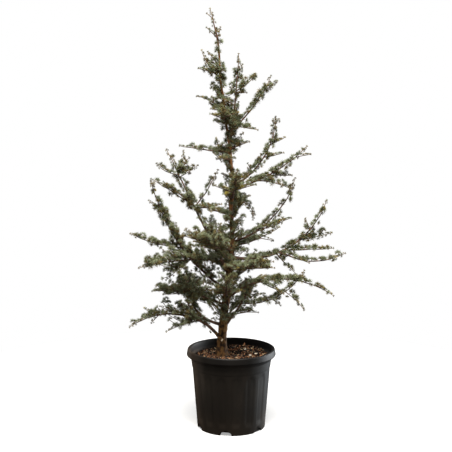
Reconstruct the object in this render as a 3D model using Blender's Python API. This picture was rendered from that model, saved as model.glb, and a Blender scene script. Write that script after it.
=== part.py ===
"""Young cedar of Lebanon in a black nursery pot.

The trunk, the main boughs and every mass of foliage are worked out from a short plan of named limbs: how
high a limb leaves the trunk, where it heads, how it rises and bends, how long it is, and which forks it
carries. Metres, +Z up, the origin at the middle of the pot's flat underside. Headings are degrees
anticlockwise from +X, seen from above; pitches are degrees above the horizontal.
"""

from collections import namedtuple
from math import ceil, cos, degrees, pi, radians, sin, sqrt
from random import Random

import bmesh
import bpy
from mathutils import Matrix, Vector, noise

# ---------------------------------------------------------------- pot
POT_HEIGHT = 0.335
RIM_RADIUS = 0.187
RIM_TOP_RADIUS = 0.183
RIM_THICKNESS = 0.010
RIM_ROUND = 0.003
LIP_HEIGHT = 0.026
LIP_CHAMFER = 0.016
COLLAR_RADIUS = 0.169
COLLAR_FOOT_RADIUS = 0.1655
COLLAR_FOOT = 0.262
WALL_TOP_RADIUS = 0.1615
WALL_TOP = 0.256
BASE_RADIUS = 0.1425
WALL = 0.003
FOOT_BEVEL = 0.003
FLOOR = 0.004
FLOOR_DISC_RADIUS = 0.100
GROOVE_ROOF = 0.020
FLUTES = 16
FLUTE_DEPTH = 0.003
FLUTE_RUNOUT = 0.008
FLUTE_FOOT = 0.034
POT_SIDES = 3 * FLUTES
NOTCHES = 6
NOTCH_TURN = radians(260.6)
NOTCH_WIDTH = 0.049
NOTCH_TOP_SHARE = 0.70
NOTCH_HEIGHT = 0.016
NOTCH_REACH = 0.012
# (height, radius) up the pot's inner wall, from the raised floor to the throat under the rim.
INNER_WALL = (
    (GROOVE_ROOF + WALL, 0.1378),
    (COLLAR_FOOT - 0.006, 0.1555),
    (COLLAR_FOOT + 0.030, 0.1640),
    (POT_HEIGHT - 0.010, 0.1680),
)

# ---------------------------------------------------------------- soil
GAP = 0.0003
SOIL_TOP = 0.295
SOIL_HEAVE = 0.007
SOIL_SIDES = 32
SOIL_RINGS = 4
SOIL_EDGE_INSET = 0.2
TRUNK_SEAT = 0.040

# ---------------------------------------------------------------- trunk
TrunkPoint = namedtuple("TrunkPoint", "height x y radius")
TRUNK_LINE = (
    TrunkPoint(0.295, -0.040, 0.020, 0.0190),
    TrunkPoint(0.400, -0.036, 0.018, 0.0178),
    TrunkPoint(0.520, -0.024, 0.012, 0.0165),
    TrunkPoint(0.650, -0.009, 0.004, 0.0130),
    TrunkPoint(0.790, 0.004, 0.000, 0.0100),
    TrunkPoint(0.930, -0.001, 0.004, 0.0088),
    TrunkPoint(1.035, 0.010, 0.002, 0.0082),
    TrunkPoint(1.110, -0.003, 0.000, 0.0078),
    TrunkPoint(1.185, -0.007, 0.002, 0.0070),
    TrunkPoint(1.265, -0.021, 0.006, 0.0055),
    TrunkPoint(1.365, -0.032, 0.004, 0.0048),
    TrunkPoint(1.460, -0.046, 0.002, 0.0045),
    TrunkPoint(1.540, -0.049, 0.000, 0.0043),
    TrunkPoint(1.612, -0.056, 0.000, 0.0036),
)
TRUNK_SIDES = 10
TRUNK_RING_STEP = 0.045
FLARE = 0.007
FLARE_HEIGHT = 0.030
FLARE_LOBES = 5
FLARE_LOBE_DEPTH = 0.35

# ---------------------------------------------------------------- limbs
SHOOT_RADIUS = 0.0014
RADIUS_FLOOR = 0.0012
RADIUS_GAIN = 0.0043
FORK_SHARE_OF_PARENT = 0.8
BOUGH_SIDES = 7
STEM_SIDES = 4
TWIG_SIDES = 3
LIMB_TURN = 10.0
WALK_STEPS = 24

# ---------------------------------------------------------------- needle tufts
SEED = 1000
TUFT_SPACING = 0.041
TUFT_REACH = 0.021
TUFT_SPREAD = 0.020
TUFT_SHOULDER = 0.70
TUFT_POINTS = 3
TUFT_START = 0.65
TUFT_JITTER = 0.15
TUFT_TURN = (20, 115)
TUFT_LEAN = (0.3, 0.7)
TUFT_SIZE = (0.85, 1.15)
TUFT_CLEARANCE = 0.0006
TIP_BARE = 0.006
TIP_TUFT_SUNK = 0.008
TIP_TUFT_SLIM = 0.5

Limb = namedtuple("Limb", "name height heading pitch bend length bare forks")
Fork = namedtuple("Fork", "share heading pitch bend length forks")
Twig = namedtuple("Twig", "points aheads radii")
Tuft = namedtuple("Tuft", "root axis reach spread roll")


def fork(share, heading, pitch, bend, length, *forks):
    return Fork(share, heading, pitch, bend, length, forks)


def limb(name, height, heading, pitch, bend, length, bare, *forks):
    return Limb(name, height, heading, pitch, bend, length, bare, forks)


LIMBS = (
    # The leader, and the shoots round the top.
    limb("leader", 1.614, 180, 76, 0, 0.122, 0,
         fork(0.65, 190, 40, 0, 0.032),
         fork(0.02, 185, 43, 0, 0.060),
         fork(0.02, 0, 68, 10, 0.045)),
    limb("top_left", 1.455, 188, 38, 36, 0.135, 0,
         fork(0.20, 205, 15, 0, 0.075)),
    limb("top_left_upper", 1.502, 200, 48, 0, 0.075, 0),
    limb("top_left_back", 1.486, 162, 35, 0, 0.075, 0),
    limb("second_leader", 1.184, 315, 78, 8, 0.370, 0,
         fork(0.22, 324, -7, 0, 0.125),
         fork(0.34, 165, 25, 0, 0.055),
         fork(0.44, 200, 30, 0, 0.060),
         fork(0.50, 70, 35, 0, 0.055),
         fork(0.26, 330, 72, 0, 0.085),
         fork(0.57, 20, 5, 0, 0.045),
         fork(0.60, 350, 20, 40, 0.105),
         fork(0.72, 10, 65, 10, 0.065)),
    limb("high_left_twig", 1.400, 170, 20, 0, 0.045, 0),
    limb("high_left", 1.300, 172, 60, -50, 0.148, 0,
         fork(0.20, 200, 10, 0, 0.045),
         fork(0.45, 230, 60, 0, 0.035)),
    limb("high_right", 1.235, 8, 36, 32, 0.295, 0,
         fork(0.75, 340, 32, 10, 0.075)),
    limb("high_front", 1.265, 262, 25, 20, 0.140, 0,
         fork(0.35, 200, 20, 0, 0.065),
         fork(0.45, 335, 20, 0, 0.065)),
    limb("high_back", 1.220, 75, 40, 10, 0.160, 0,
         fork(0.50, 40, 30, 0, 0.060),
         fork(0.50, 110, 30, 0, 0.060)),
    # The middle of the crown.
    limb("middle_right_twig", 1.168, 337, 20, 0, 0.090, 0,
         fork(0.16, 20, 55, 0, 0.075)),
    limb("straight_left", 1.155, 180, 4, 6, 0.207, 0,
         fork(0.35, 320, -40, 0, 0.065)),
    limb("middle_front_twig", 1.125, 250, 0, 20, 0.075, 0,
         fork(0.40, 190, 10, 0, 0.040),
         fork(0.40, 320, 10, 0, 0.040)),
    limb("high_back_bough", 1.060, 112, 30, 15, 0.240, 0,
         fork(0.45, 80, 20, 0, 0.080),
         fork(0.55, 145, 20, 0, 0.080)),
    limb("middle_left_twig", 1.025, 150, 40, -10, 0.070, 0),
    limb("rising_right", 1.015, 18, 26, 62, 0.355, 0.080,
         fork(0.28, 170, 60, 0, 0.040),
         fork(0.40, 60, 70, 0, 0.045),
         fork(0.50, 345, 5, 15, 0.085),
         fork(0.66, 20, 25, 0, 0.075),
         fork(0.90, 190, 75, 0, 0.025),
         fork(0.90, 0, 55, 0, 0.030)),
    limb("reaching_right", 1.005, 342, 15, 30, 0.360, 0.080,
         fork(0.28, 40, 30, 0, 0.050),
         fork(0.30, 330, 0, -20, 0.155),
         fork(0.45, 15, -2, 0, 0.100),
         fork(0.82, 330, 15, -5, 0.070)),
    limb("front_middle", 0.965, 275, 18, 25, 0.270, 0,
         fork(0.30, 215, 20, 0, 0.100),
         fork(0.40, 325, 15, 0, 0.110),
         fork(0.48, 350, 60, 0, 0.070),
         fork(0.55, 240, 50, 0, 0.070),
         fork(0.70, 310, 20, 0, 0.060)),
    limb("drooping_right", 0.945, 20, 25, -125, 0.150, 0),
    limb("middle_left", 0.895, 190, 15, 10, 0.140, 0,
         fork(0.40, 230, 10, 0, 0.060),
         fork(0.50, 150, 30, 0, 0.060)),
    limb("middle_back", 0.860, 82, 25, 20, 0.320, 0,
         fork(0.45, 50, 15, 0, 0.100),
         fork(0.55, 115, 15, 0, 0.090)),
    limb("arching_right", 0.783, 350, 18, 56, 0.390, 0.080,
         fork(0.28, 330, 20, 5, 0.175)),
    limb("right_back", 0.765, 28, 6, 20, 0.240, 0,
         fork(0.35, 60, 30, 0, 0.070),
         fork(0.55, 355, -10, 0, 0.060)),
    # The broad lower crown.
    limb("front_left", 0.750, 240, 10, 15, 0.350, 0.070,
         fork(0.40, 190, 15, 0, 0.090),
         fork(0.55, 280, 15, 0, 0.080),
         fork(0.75, 210, 20, 0, 0.070)),
    limb("swept_right", 0.720, 350, -9, 82, 0.505, 0.110,
         fork(0.38, 350, -50, 10, 0.120),
         fork(0.40, 322, -10, 0, 0.155),
         fork(0.42, 338, -28, 60, 0.285),
         fork(0.45, 345, 2, 5, 0.205),
         fork(0.60, 10, 5, 12, 0.140),
         fork(0.72, 170, 70, 0, 0.050)),
    limb("level_left", 0.700, 207, 12, -22, 0.410, 0.100,
         fork(0.45, 195, -38, 0, 0.130),
         fork(0.80, 150, 20, 0, 0.050),
         fork(0.85, 210, -15, 0, 0.040)),
    limb("tall_left", 0.650, 163, 60, 4, 0.580, 0.130,
         fork(0.53, 345, 0, 20, 0.115),
         fork(0.54, 350, 48, 20, 0.185),
         fork(0.55, 195, 33, 0, 0.205),
         fork(0.56, 210, 36, 0, 0.170),
         fork(0.78, 345, 25, 15, 0.095),
         fork(0.80, 190, 5, 45, 0.105),
         fork(0.81, 340, 52, 0, 0.085),
         fork(0.82, 20, 50, 45, 0.095)),
    limb("low_back", 0.620, 95, 20, 15, 0.420, 0.110,
         fork(0.45, 60, 10, 0, 0.130),
         fork(0.50, 135, 10, 0, 0.130),
         fork(0.75, 115, 10, 0, 0.080)),
    limb("low_right_back", 0.607, 25, 36, -15, 0.250, 0,
         fork(0.50, 350, -5, 0, 0.070),
         fork(0.60, 60, 40, 0, 0.060)),
    limb("long_left", 0.580, 196, 34, 44, 0.585, 0.130,
         fork(0.46, 180, 3, 25, 0.220),
         fork(0.50, 330, 60, 0, 0.050),
         fork(0.60, 340, 60, 0, 0.040),
         fork(0.74, 190, 45, 0, 0.080)),
    limb("front_right", 0.672, 296, 4, 22, 0.340, 0.070,
         fork(0.35, 255, 10, 0, 0.110),
         fork(0.45, 340, 5, 0, 0.120),
         fork(0.62, 270, 25, 0, 0.080),
         fork(0.75, 330, 15, 0, 0.070)),
    limb("front_low", 0.557, 270, 14, 22, 0.280, 0,
         fork(0.30, 220, 15, 0, 0.090),
         fork(0.42, 325, 10, 0, 0.090),
         fork(0.65, 235, 15, 0, 0.060)),
    limb("low_right", 0.538, 338, 43, -73, 0.500, 0.100,
         fork(0.33, 20, 35, 0, 0.045),
         fork(0.35, 318, -15, 0, 0.130),
         fork(0.62, 15, 10, 0, 0.060),
         fork(0.80, 325, -10, 0, 0.060)),
    limb("low_left", 0.515, 172, 24, -30, 0.320, 0.070,
         fork(0.50, 150, 10, 0, 0.090),
         fork(0.55, 205, 0, 0, 0.100),
         fork(0.75, 180, 5, 0, 0.060)),
    limb("lowest_back_left", 0.470, 122, 22, -10, 0.390, 0.090,
         fork(0.45, 155, 5, 0, 0.120),
         fork(0.60, 90, 10, 0, 0.100)),
    limb("front_lowest_twig", 0.452, 268, 12, 20, 0.130, 0,
         fork(0.35, 215, 10, 0, 0.060),
         fork(0.55, 320, 10, 0, 0.050)),
    limb("lowest_back_right", 0.450, 62, 20, 0, 0.390, 0.090,
         fork(0.45, 30, 5, 0, 0.120),
         fork(0.60, 95, 10, 0, 0.100)),
    limb("upturned_left", 0.430, 187, 8, 105, 0.310, 0,
         fork(0.30, 200, 15, 0, 0.100),
         fork(0.60, 148, 38, 0, 0.080)),
    limb("forked_right", 0.420, 340, 48, 15, 0.225, 0.060,
         fork(0.33, 350, 15, -15, 0.105),
         fork(0.60, 335, 0, 60, 0.335,
              fork(0.42, 330, -25, -10, 0.045),
              fork(0.62, 330, -25, -25, 0.110)),
         fork(0.78, 190, 50, 0, 0.045),
         fork(0.72, 60, 30, 0, 0.045)),
    limb("lowest_left", 0.362, 188, 56, -92, 0.440, 0.090,
         fork(0.30, 207, -2, -20, 0.155),
         fork(0.55, 185, 35, -10, 0.070),
         fork(0.70, 205, -45, 0, 0.045),
         fork(0.75, 165, 40, 0, 0.050)),
)


# ---------------------------------------------------------------- curves
def direction(heading, pitch):
    a, e = radians(heading), radians(pitch)
    return Vector((cos(e) * cos(a), cos(e) * sin(a), sin(e)))


def walk(start, heading, pitch, bend, length):
    """Points along a limb whose pitch turns evenly by bend from its root to its tip."""
    points = [Vector(start)]
    for i in range(WALK_STEPS):
        share = (i + 0.5) / WALK_STEPS
        points.append(points[-1] + direction(heading, pitch + bend * share) * (length / WALK_STEPS))
    return points


def along(points, share):
    """The point at a share of an evenly walked line."""
    place = min(max(share, 0.0), 1.0) * (len(points) - 1)
    i = min(int(place), len(points) - 2)
    return points[i].lerp(points[i + 1], place - i)


def tangent(points, share):
    nudge = 0.5 / len(points)
    return (along(points, share + nudge) - along(points, share - nudge)).normalized()


def trunk_at(height):
    """The trunk's axis point and radius at a height, on a smooth line through TRUNK_LINE."""
    line = TRUNK_LINE
    height = min(max(height, line[0].height), line[-1].height)
    i = max(k for k in range(len(line) - 1) if height >= line[k].height)
    a, b = line[i], line[i + 1]
    before, after = line[max(i - 1, 0)], line[min(i + 2, len(line) - 1)]
    span = b.height - a.height
    t = (height - a.height) / span

    def smooth(field):
        p, q = getattr(a, field), getattr(b, field)
        slope_a = (q - getattr(before, field)) / (b.height - before.height) * span
        slope_b = (getattr(after, field) - p) / (after.height - a.height) * span
        return (p * (1 + 2 * t) * (1 - t) ** 2 + slope_a * t * (1 - t) ** 2
                + q * t * t * (3 - 2 * t) + slope_b * t * t * (t - 1))

    return Vector((smooth("x"), smooth("y"), height)), smooth("radius")


def carried(part):
    """The length of a limb with everything that it carries."""
    return part.length + sum(carried(f) for f in part.forks)


def root_radius(part):
    return RADIUS_FLOOR + RADIUS_GAIN * sqrt(carried(part))


def radius_at(root, share):
    return root + (SHOOT_RADIUS - root) * share ** 0.8


# ---------------------------------------------------------------- meshes
def new_object(name, bm, material, collection=None):
    mesh = bpy.data.meshes.new(name)
    bm.to_mesh(mesh)
    bm.free()
    mesh.materials.append(material)
    obj = bpy.data.objects.new(name, mesh)
    (collection or bpy.context.scene.collection).objects.link(obj)
    return obj


def rings_to_mesh(rings):
    """A closed mesh from rings of points, each anticlockwise seen from its far side, with flat ends."""
    bm = bmesh.new()
    loops = [[bm.verts.new(p) for p in ring] for ring in rings]
    for low, high in zip(loops, loops[1:]):
        for i in range(len(low)):
            j = (i + 1) % len(low)
            bm.faces.new((low[i], low[j], high[j], high[i]))
    bm.faces.new(list(reversed(loops[0])))
    bm.faces.new(loops[-1])
    return bm


def tube(twig, sides):
    """A tapering tube along a twig, its rings carried from one to the next without twisting."""
    rings = []
    across = twig.aheads[0].orthogonal()
    for point, ahead, radius in zip(*twig):
        across = (across - ahead * across.dot(ahead)).normalized()
        other = ahead.cross(across)
        angles = [2 * pi * k / sides for k in range(sides)]
        rings.append([point + (across * cos(a) + other * sin(a)) * radius for a in angles])
    return rings_to_mesh(rings)


def tuft_mesh(tuft):
    """A tuft of needles: a cone that opens outwards from its root in the twig to a few long teeth."""
    frame = tuft.axis.to_track_quat("Z", "Y").to_matrix() @ Matrix.Rotation(tuft.roll, 3, "Z")
    bm = bmesh.new()
    foot = bm.verts.new(tuft.root)
    head = bm.verts.new(tuft.root + tuft.axis * tuft.reach)
    ring = []
    for k in range(TUFT_POINTS):
        angle = 2 * pi * k / TUFT_POINTS
        tooth = Vector((cos(angle) * tuft.spread, sin(angle) * tuft.spread, tuft.reach * TUFT_SHOULDER))
        ring.append(bm.verts.new(tuft.root + frame @ tooth))
    for low, high in zip(ring, ring[1:] + ring[:1]):
        bm.faces.new((foot, high, low))
        bm.faces.new((head, low, high))
    return bm


def outer_shell(mesh):
    """Keeps the largest closed shell of a mesh: a sealed hollow is filled and a loose scrap is dropped."""
    bm = bmesh.new()
    bm.from_mesh(mesh)
    bmesh.ops.triangulate(bm, faces=bm.faces)
    left = set(bm.faces)
    shells = []
    while left:
        shell, edge = set(), [left.pop()]
        while edge:
            face = edge.pop()
            shell.add(face)
            for side in face.edges:
                for near in side.link_faces:
                    if near in left:
                        left.remove(near)
                        edge.append(near)
        volume = sum(f.verts[0].co.dot(f.verts[1].co.cross(f.verts[2].co)) for f in shell)
        shells.append((volume, shell))
    largest = max(shells, key=lambda s: s[0])[1]
    spare = [f for f in bm.faces if f not in largest]
    bmesh.ops.delete(bm, geom=spare, context="FACES")
    bm.to_mesh(mesh)
    bm.free()


def apply_boolean(obj, operation, others):
    """Joins a collection to obj, or cuts it from obj, and removes the collection's objects."""
    modifier = obj.modifiers.new("boolean", "BOOLEAN")
    modifier.operation = operation
    modifier.operand_type = "COLLECTION"
    modifier.collection = others
    graph = bpy.context.evaluated_depsgraph_get()
    done = bpy.data.meshes.new_from_object(obj.evaluated_get(graph))
    obj.modifiers.clear()
    obj.data = done
    for other in list(others.objects):
        bpy.data.objects.remove(other)
    bpy.data.collections.remove(others)


def helper_collection(name):
    collection = bpy.data.collections.new(name)
    bpy.context.scene.collection.children.link(collection)
    return collection


# ---------------------------------------------------------------- materials
def make_material(name, colour, roughness):
    made = bpy.data.materials.new(name)
    made.use_nodes = True
    shader = made.node_tree.nodes["Principled BSDF"]
    shader.inputs["Base Color"].default_value = (*colour, 1.0)
    shader.inputs["Roughness"].default_value = roughness
    shader.inputs["Metallic"].default_value = 0.0
    return made


# ---------------------------------------------------------------- pot and soil
def wall_radius(z):
    """The pot's outer wall between its base and its collar."""
    return BASE_RADIUS + (WALL_TOP_RADIUS - BASE_RADIUS) * z / WALL_TOP


def inner_radius(z):
    """The pot's inner wall at a height, on straight runs through INNER_WALL."""
    for (low_z, low_r), (high_z, high_r) in zip(INNER_WALL, INNER_WALL[1:]):
        if z <= high_z:
            return low_r + (high_r - low_r) * (z - low_z) / (high_z - low_z)
    return INNER_WALL[-1][1]


def pot_underside():
    """(radius, height, fluted) from the middle disc, over the groove round it and down to the foot."""
    skirt = BASE_RADIUS - WALL
    return (
        (FLOOR_DISC_RADIUS, 0.0, False),
        (FLOOR_DISC_RADIUS + WALL, GROOVE_ROOF, False),
        (skirt, GROOVE_ROOF, False),
        (skirt, 0.0, False),
    )


def pot_outside():
    """(radius, height, fluted) up the pot's outside, from its foot to the outer edge of its rim."""
    lip_foot = POT_HEIGHT - LIP_HEIGHT
    return (
        (BASE_RADIUS - FOOT_BEVEL * 0.4, 0.0, False),
        (wall_radius(FOOT_BEVEL), FOOT_BEVEL, False),
        (wall_radius(FLUTE_FOOT), FLUTE_FOOT, False),
        (wall_radius(FLUTE_FOOT + FLUTE_RUNOUT), FLUTE_FOOT + FLUTE_RUNOUT, True),
        (wall_radius(WALL_TOP - FLUTE_RUNOUT), WALL_TOP - FLUTE_RUNOUT, True),
        (WALL_TOP_RADIUS, WALL_TOP, False),
        (COLLAR_FOOT_RADIUS, COLLAR_FOOT, False),
        (COLLAR_RADIUS, lip_foot - LIP_CHAMFER, False),
        (RIM_RADIUS, lip_foot, False),
        (RIM_TOP_RADIUS, POT_HEIGHT - RIM_ROUND, False),
        (RIM_TOP_RADIUS - RIM_ROUND, POT_HEIGHT, False),
    )


def pot_inside():
    """(radius, height, fluted) over the pot's rim and down its inside to the floor."""
    rim = (RIM_TOP_RADIUS - RIM_THICKNESS, POT_HEIGHT - RIM_ROUND * 0.5, False)
    wall = [(r, z, False) for z, r in reversed(INNER_WALL)]
    floor = (FLOOR_DISC_RADIUS - WALL, GROOVE_ROOF + WALL, False)
    return (rim, *wall, floor, (FLOOR_DISC_RADIUS - 2 * WALL, FLOOR, False))


def pot_ring(radius, height, fluted):
    """One ring round the pot. In a fluted ring every third point is the bottom of a flute."""
    ring = []
    for k in range(POT_SIDES):
        r = radius - (FLUTE_DEPTH if fluted and k % 3 == 1 else 0.0)
        angle = 2 * pi * k / POT_SIDES
        ring.append(Vector((r * cos(angle), r * sin(angle), height)))
    return ring


def notch_mesh(turn):
    """A cutter for one drain notch: a block through the foot of the wall, narrower at its top."""
    bm = bmesh.new()
    bmesh.ops.create_cube(bm, size=1.0)
    for v in bm.verts:
        width = NOTCH_WIDTH * (NOTCH_TOP_SHARE if v.co.z > 0 else 1.0)
        v.co = Vector((BASE_RADIUS + v.co.x * 2 * NOTCH_REACH, v.co.y * width, v.co.z * 2 * NOTCH_HEIGHT))
    bmesh.ops.rotate(bm, verts=bm.verts, cent=(0, 0, 0), matrix=Matrix.Rotation(turn, 3, "Z"))
    return bm


def make_pot(plastic):
    rings = [pot_ring(*ring) for ring in (*pot_underside(), *pot_outside(), *pot_inside())]
    pot = new_object("pot", rings_to_mesh(rings), plastic)
    cutters = helper_collection("notches")
    for k in range(NOTCHES):
        new_object(f"notch_{k}", notch_mesh(NOTCH_TURN + 2 * pi * k / NOTCHES), plastic, cutters)
    apply_boolean(pot, "DIFFERENCE", cutters)
    outer_shell(pot.data)
    return pot


def soil_height(x, y):
    """The uneven surface of the bark chips, level where the trunk stands."""
    foot = TRUNK_LINE[0]
    away = sqrt((x - foot.x) ** 2 + (y - foot.y) ** 2)
    blend = min(max((away - TRUNK_SEAT) / TRUNK_SEAT, 0.0), 1.0)
    rough = noise.noise(Vector((x, y, 0.3)) * 22.0)
    return SOIL_TOP - GAP + SOIL_HEAVE * rough * blend


def soil_edge():
    """(radius, height) of the soil's sides, from its bottom to the edge of its top, clear of the pot."""
    step = GROOVE_ROOF + WALL + GAP
    disc = FLOOR_DISC_RADIUS - 2 * WALL
    bend, edge = INNER_WALL[1][0], SOIL_TOP - 2 * SOIL_HEAVE
    return (
        (disc - 2 * GAP, FLOOR + GAP),
        (disc + WALL - 2 * GAP, step),
        (inner_radius(step) - 2 * GAP, step),
        (inner_radius(bend) - 2 * GAP, bend),
        (inner_radius(edge) - 2 * GAP, edge),
    )


def make_soil(earth):
    bm = bmesh.new()
    angles = [2 * pi * k / SOIL_SIDES for k in range(SOIL_SIDES)]
    rings = [[bm.verts.new((r * cos(a), r * sin(a), z)) for a in angles] for r, z in soil_edge()]
    top_radius = inner_radius(SOIL_TOP - 2 * SOIL_HEAVE) - 2 * GAP
    for step in range(SOIL_RINGS, 0, -1):
        r = top_radius * (step - SOIL_EDGE_INSET) / SOIL_RINGS
        spots = [(r * cos(a), r * sin(a)) for a in angles]
        rings.append([bm.verts.new((x, y, soil_height(x, y))) for x, y in spots])
    for low_ring, high_ring in zip(rings, rings[1:]):
        for i in range(SOIL_SIDES):
            j = (i + 1) % SOIL_SIDES
            bm.faces.new((low_ring[i], low_ring[j], high_ring[j], high_ring[i]))
    bm.faces.new(list(reversed(rings[0])))
    middle = bm.verts.new((0, 0, soil_height(0, 0)))
    for i in range(SOIL_SIDES):
        bm.faces.new((rings[-1][i], rings[-1][(i + 1) % SOIL_SIDES], middle))
    return new_object("soil", bm, earth)


# ---------------------------------------------------------------- trunk and boughs
def trunk_rings(swell=0.0):
    """The trunk's rings from its flat foot to its fork. swell makes them larger, to cut limbs' ends."""
    foot, top = TRUNK_LINE[0].height, TRUNK_LINE[-1].height
    flared = foot + FLARE_HEIGHT
    count = round((top - flared) / TRUNK_RING_STEP)
    heights = [foot, foot + FLARE_HEIGHT * 0.25, foot + FLARE_HEIGHT * 0.6]
    heights += [flared + (top - flared) * k / count for k in range(count + 1)]
    rings = []
    for z in heights:
        centre, radius = trunk_at(z)
        flare = FLARE * max(0.0, 1 - (z - foot) / FLARE_HEIGHT) ** 2
        ring = []
        for k in range(TRUNK_SIDES):
            a = 2 * pi * k / TRUNK_SIDES
            r = radius + flare * (1 + FLARE_LOBE_DEPTH * cos(FLARE_LOBES * a)) + swell
            ring.append(centre + Vector((r * cos(a), r * sin(a), 0)))
        rings.append(ring)
    for point in rings[0]:
        point.z -= swell
    for point in rings[-1]:
        point.z += swell
    return rings


def make_trunk(bark):
    return new_object("trunk", rings_to_mesh(trunk_rings()), bark)


def stretch(points, root, start, end, length):
    """The part of a limb from start to end metres along it, as a Twig with one step for each small turn."""
    turned = degrees(tangent(points, start / length).angle(tangent(points, end / length)))
    count = max(1, ceil(turned / LIMB_TURN))
    shares = [(start + (end - start) * k / count) / length for k in range(count + 1)]
    return Twig(
        [along(points, s) for s in shares],
        [tangent(points, s) for s in shares],
        [radius_at(root, s) for s in shares],
    )


def limb_walk(plan):
    """A limb's line, which starts on the trunk's axis."""
    return walk(trunk_at(plan.height)[0], plan.heading, plan.pitch, plan.bend, plan.length)


def clear_of_trunk(obj):
    """Cuts a limb's root back to the trunk's surface and a small gap."""
    cutter = helper_collection("trunk_cutter")
    new_object("trunk_swelled", rings_to_mesh(trunk_rings(GAP)), obj.data.materials[0], cutter)
    apply_boolean(obj, "DIFFERENCE", cutter)
    outer_shell(obj.data)


def make_bough(name, bough, bark):
    obj = new_object(f"bough_{name}", tube(bough, BOUGH_SIDES), bark)
    clear_of_trunk(obj)
    return obj


# ---------------------------------------------------------------- masses of foliage
def fork_twigs(parent_points, parent_root, forks):
    """Every fork of a limb, and every fork of those, as Twigs."""
    twigs = []
    for f in forks:
        start = along(parent_points, f.share)
        points = walk(start, f.heading, f.pitch, f.bend, f.length)
        root = min(root_radius(f), FORK_SHARE_OF_PARENT * radius_at(parent_root, f.share))
        twigs.append(stretch(points, root, 0.0, f.length, f.length))
        twigs += fork_twigs(points, root, f.forks)
    return twigs


def tufts_on(twig, rng):
    """Tufts along a twig, to its left and right by turns and kept off its underside, and one at its tip."""
    length = sum((b - a).length for a, b in zip(twig.points, twig.points[1:]))
    tufts = []
    for k in range(max(1, round(length / TUFT_SPACING - 0.5))):
        from_root = (k + TUFT_START + rng.uniform(-TUFT_JITTER, TUFT_JITTER)) * TUFT_SPACING
        if from_root > length - TIP_BARE:
            continue
        ahead = tangent(twig.points, from_root / length)
        above, side = upper_frame(ahead)
        turn = radians(rng.uniform(*TUFT_TURN)) * (1 if k % 2 else -1)
        axis = above * cos(turn) + side * sin(turn) + ahead * rng.uniform(*TUFT_LEAN)
        size = rng.uniform(*TUFT_SIZE)
        place = along(twig.points, from_root / length)
        roll = rng.uniform(0, pi)
        tufts.append(Tuft(place, axis.normalized(), TUFT_REACH * size, TUFT_SPREAD * size, roll))
    ahead = tangent(twig.points, 1.0)
    root = twig.points[-1] - ahead * TIP_TUFT_SUNK
    tufts.append(Tuft(root, ahead, TUFT_REACH, TUFT_SPREAD * TIP_TUFT_SLIM, rng.uniform(0, pi)))
    return tufts


def upper_frame(ahead):
    """The directions above a limb and to its side, square to it."""
    side = ahead.cross(Vector((0, 0, 1)))
    side = side.normalized() if side.length > 0.1 else ahead.orthogonal().normalized()
    return side.cross(ahead), side


def point_to_segment(point, a, b):
    line = b - a
    t = min(max((point - a).dot(line) / line.length_squared, 0.0), 1.0)
    return (point - a - line * t).length


def tuft_ball(tuft):
    """The centre and radius of a ball round a tuft's open end."""
    return tuft.root + tuft.axis * tuft.reach * 0.6, max(tuft.spread, tuft.reach * 0.5)


def touches(tuft, others):
    """Whether a tuft would reach a neighbour: others are (start, end, radius) of rods and balls."""
    centre, radius = tuft_ball(tuft)
    for a, b, thick in others:
        if (centre - a).length > radius + thick + (b - a).length + TUFT_CLEARANCE:
            continue
        gap = (centre - a).length if a == b else point_to_segment(centre, a, b)
        if gap < radius + thick + TUFT_CLEARANCE:
            return True
    return False


def rods(twig):
    ends = zip(twig.points, twig.points[1:], twig.radii, twig.radii[1:])
    return [(a, b, max(ra, rb)) for a, b, ra, rb in ends]


def trunk_as_rods():
    bottom, top = TRUNK_LINE[0].height, TRUNK_LINE[-1].height
    count = round((top - bottom) / TRUNK_RING_STEP)
    centres = [trunk_at(bottom + (top - bottom) * k / count) for k in range(count + 1)]
    return rods(Twig([c for c, _ in centres], None, [r for _, r in centres]))


def plan_wood():
    """For each limb: its bare bough, its mass's stem and its mass's twigs."""
    boughs, stems, twigs = {}, {}, {}
    for plan in LIMBS:
        points, root = limb_walk(plan), root_radius(plan)
        start = plan.bare + GAP / 2 if plan.bare else 0.0
        if plan.bare:
            boughs[plan.name] = stretch(points, root, 0.0, plan.bare - GAP / 2, plan.length)
        stems[plan.name] = stretch(points, root, start, plan.length, plan.length)
        twigs[plan.name] = fork_twigs(points, root, plan.forks)
    return boughs, stems, twigs


def plan_tufts(boughs, stems, twigs):
    """Each mass's tufts, with every tuft that would reach the trunk, a bough or another mass left out."""
    trunk = trunk_as_rods()
    bare = {name: rods(twig) for name, twig in boughs.items()}
    shoots = {name: (stem, *twigs[name]) for name, stem in stems.items()}
    held = {name: [rod for twig in shoots[name] for rod in rods(twig)] for name in shoots}
    tufts = {}
    for number, name in enumerate(shoots):
        rng = Random(SEED + number)
        others = trunk + [rod for rods_of in bare.values() for rod in rods_of]
        others += [rod for other, rods_of in held.items() if other != name for rod in rods_of]
        wanted = [tuft for twig in shoots[name] for tuft in tufts_on(twig, rng)]
        tufts[name] = [tuft for tuft in wanted if not touches(tuft, others)]
        for tuft in tufts[name]:
            centre, radius = tuft_ball(tuft)
            held[name].append((centre, centre, radius))
    return tufts


def make_mass(name, stem, twigs, tufts, on_trunk, green):
    obj = new_object(f"foliage_{name}", tube(stem, STEM_SIDES), green)
    joined = helper_collection("joined")
    for k, twig in enumerate(twigs):
        new_object(f"twig_{k}", tube(twig, TWIG_SIDES), green, joined)
    for k, tuft in enumerate(tufts):
        new_object(f"tuft_{k}", tuft_mesh(tuft), green, joined)
    apply_boolean(obj, "UNION", joined)
    outer_shell(obj.data)
    if on_trunk:
        clear_of_trunk(obj)
    return obj


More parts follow.
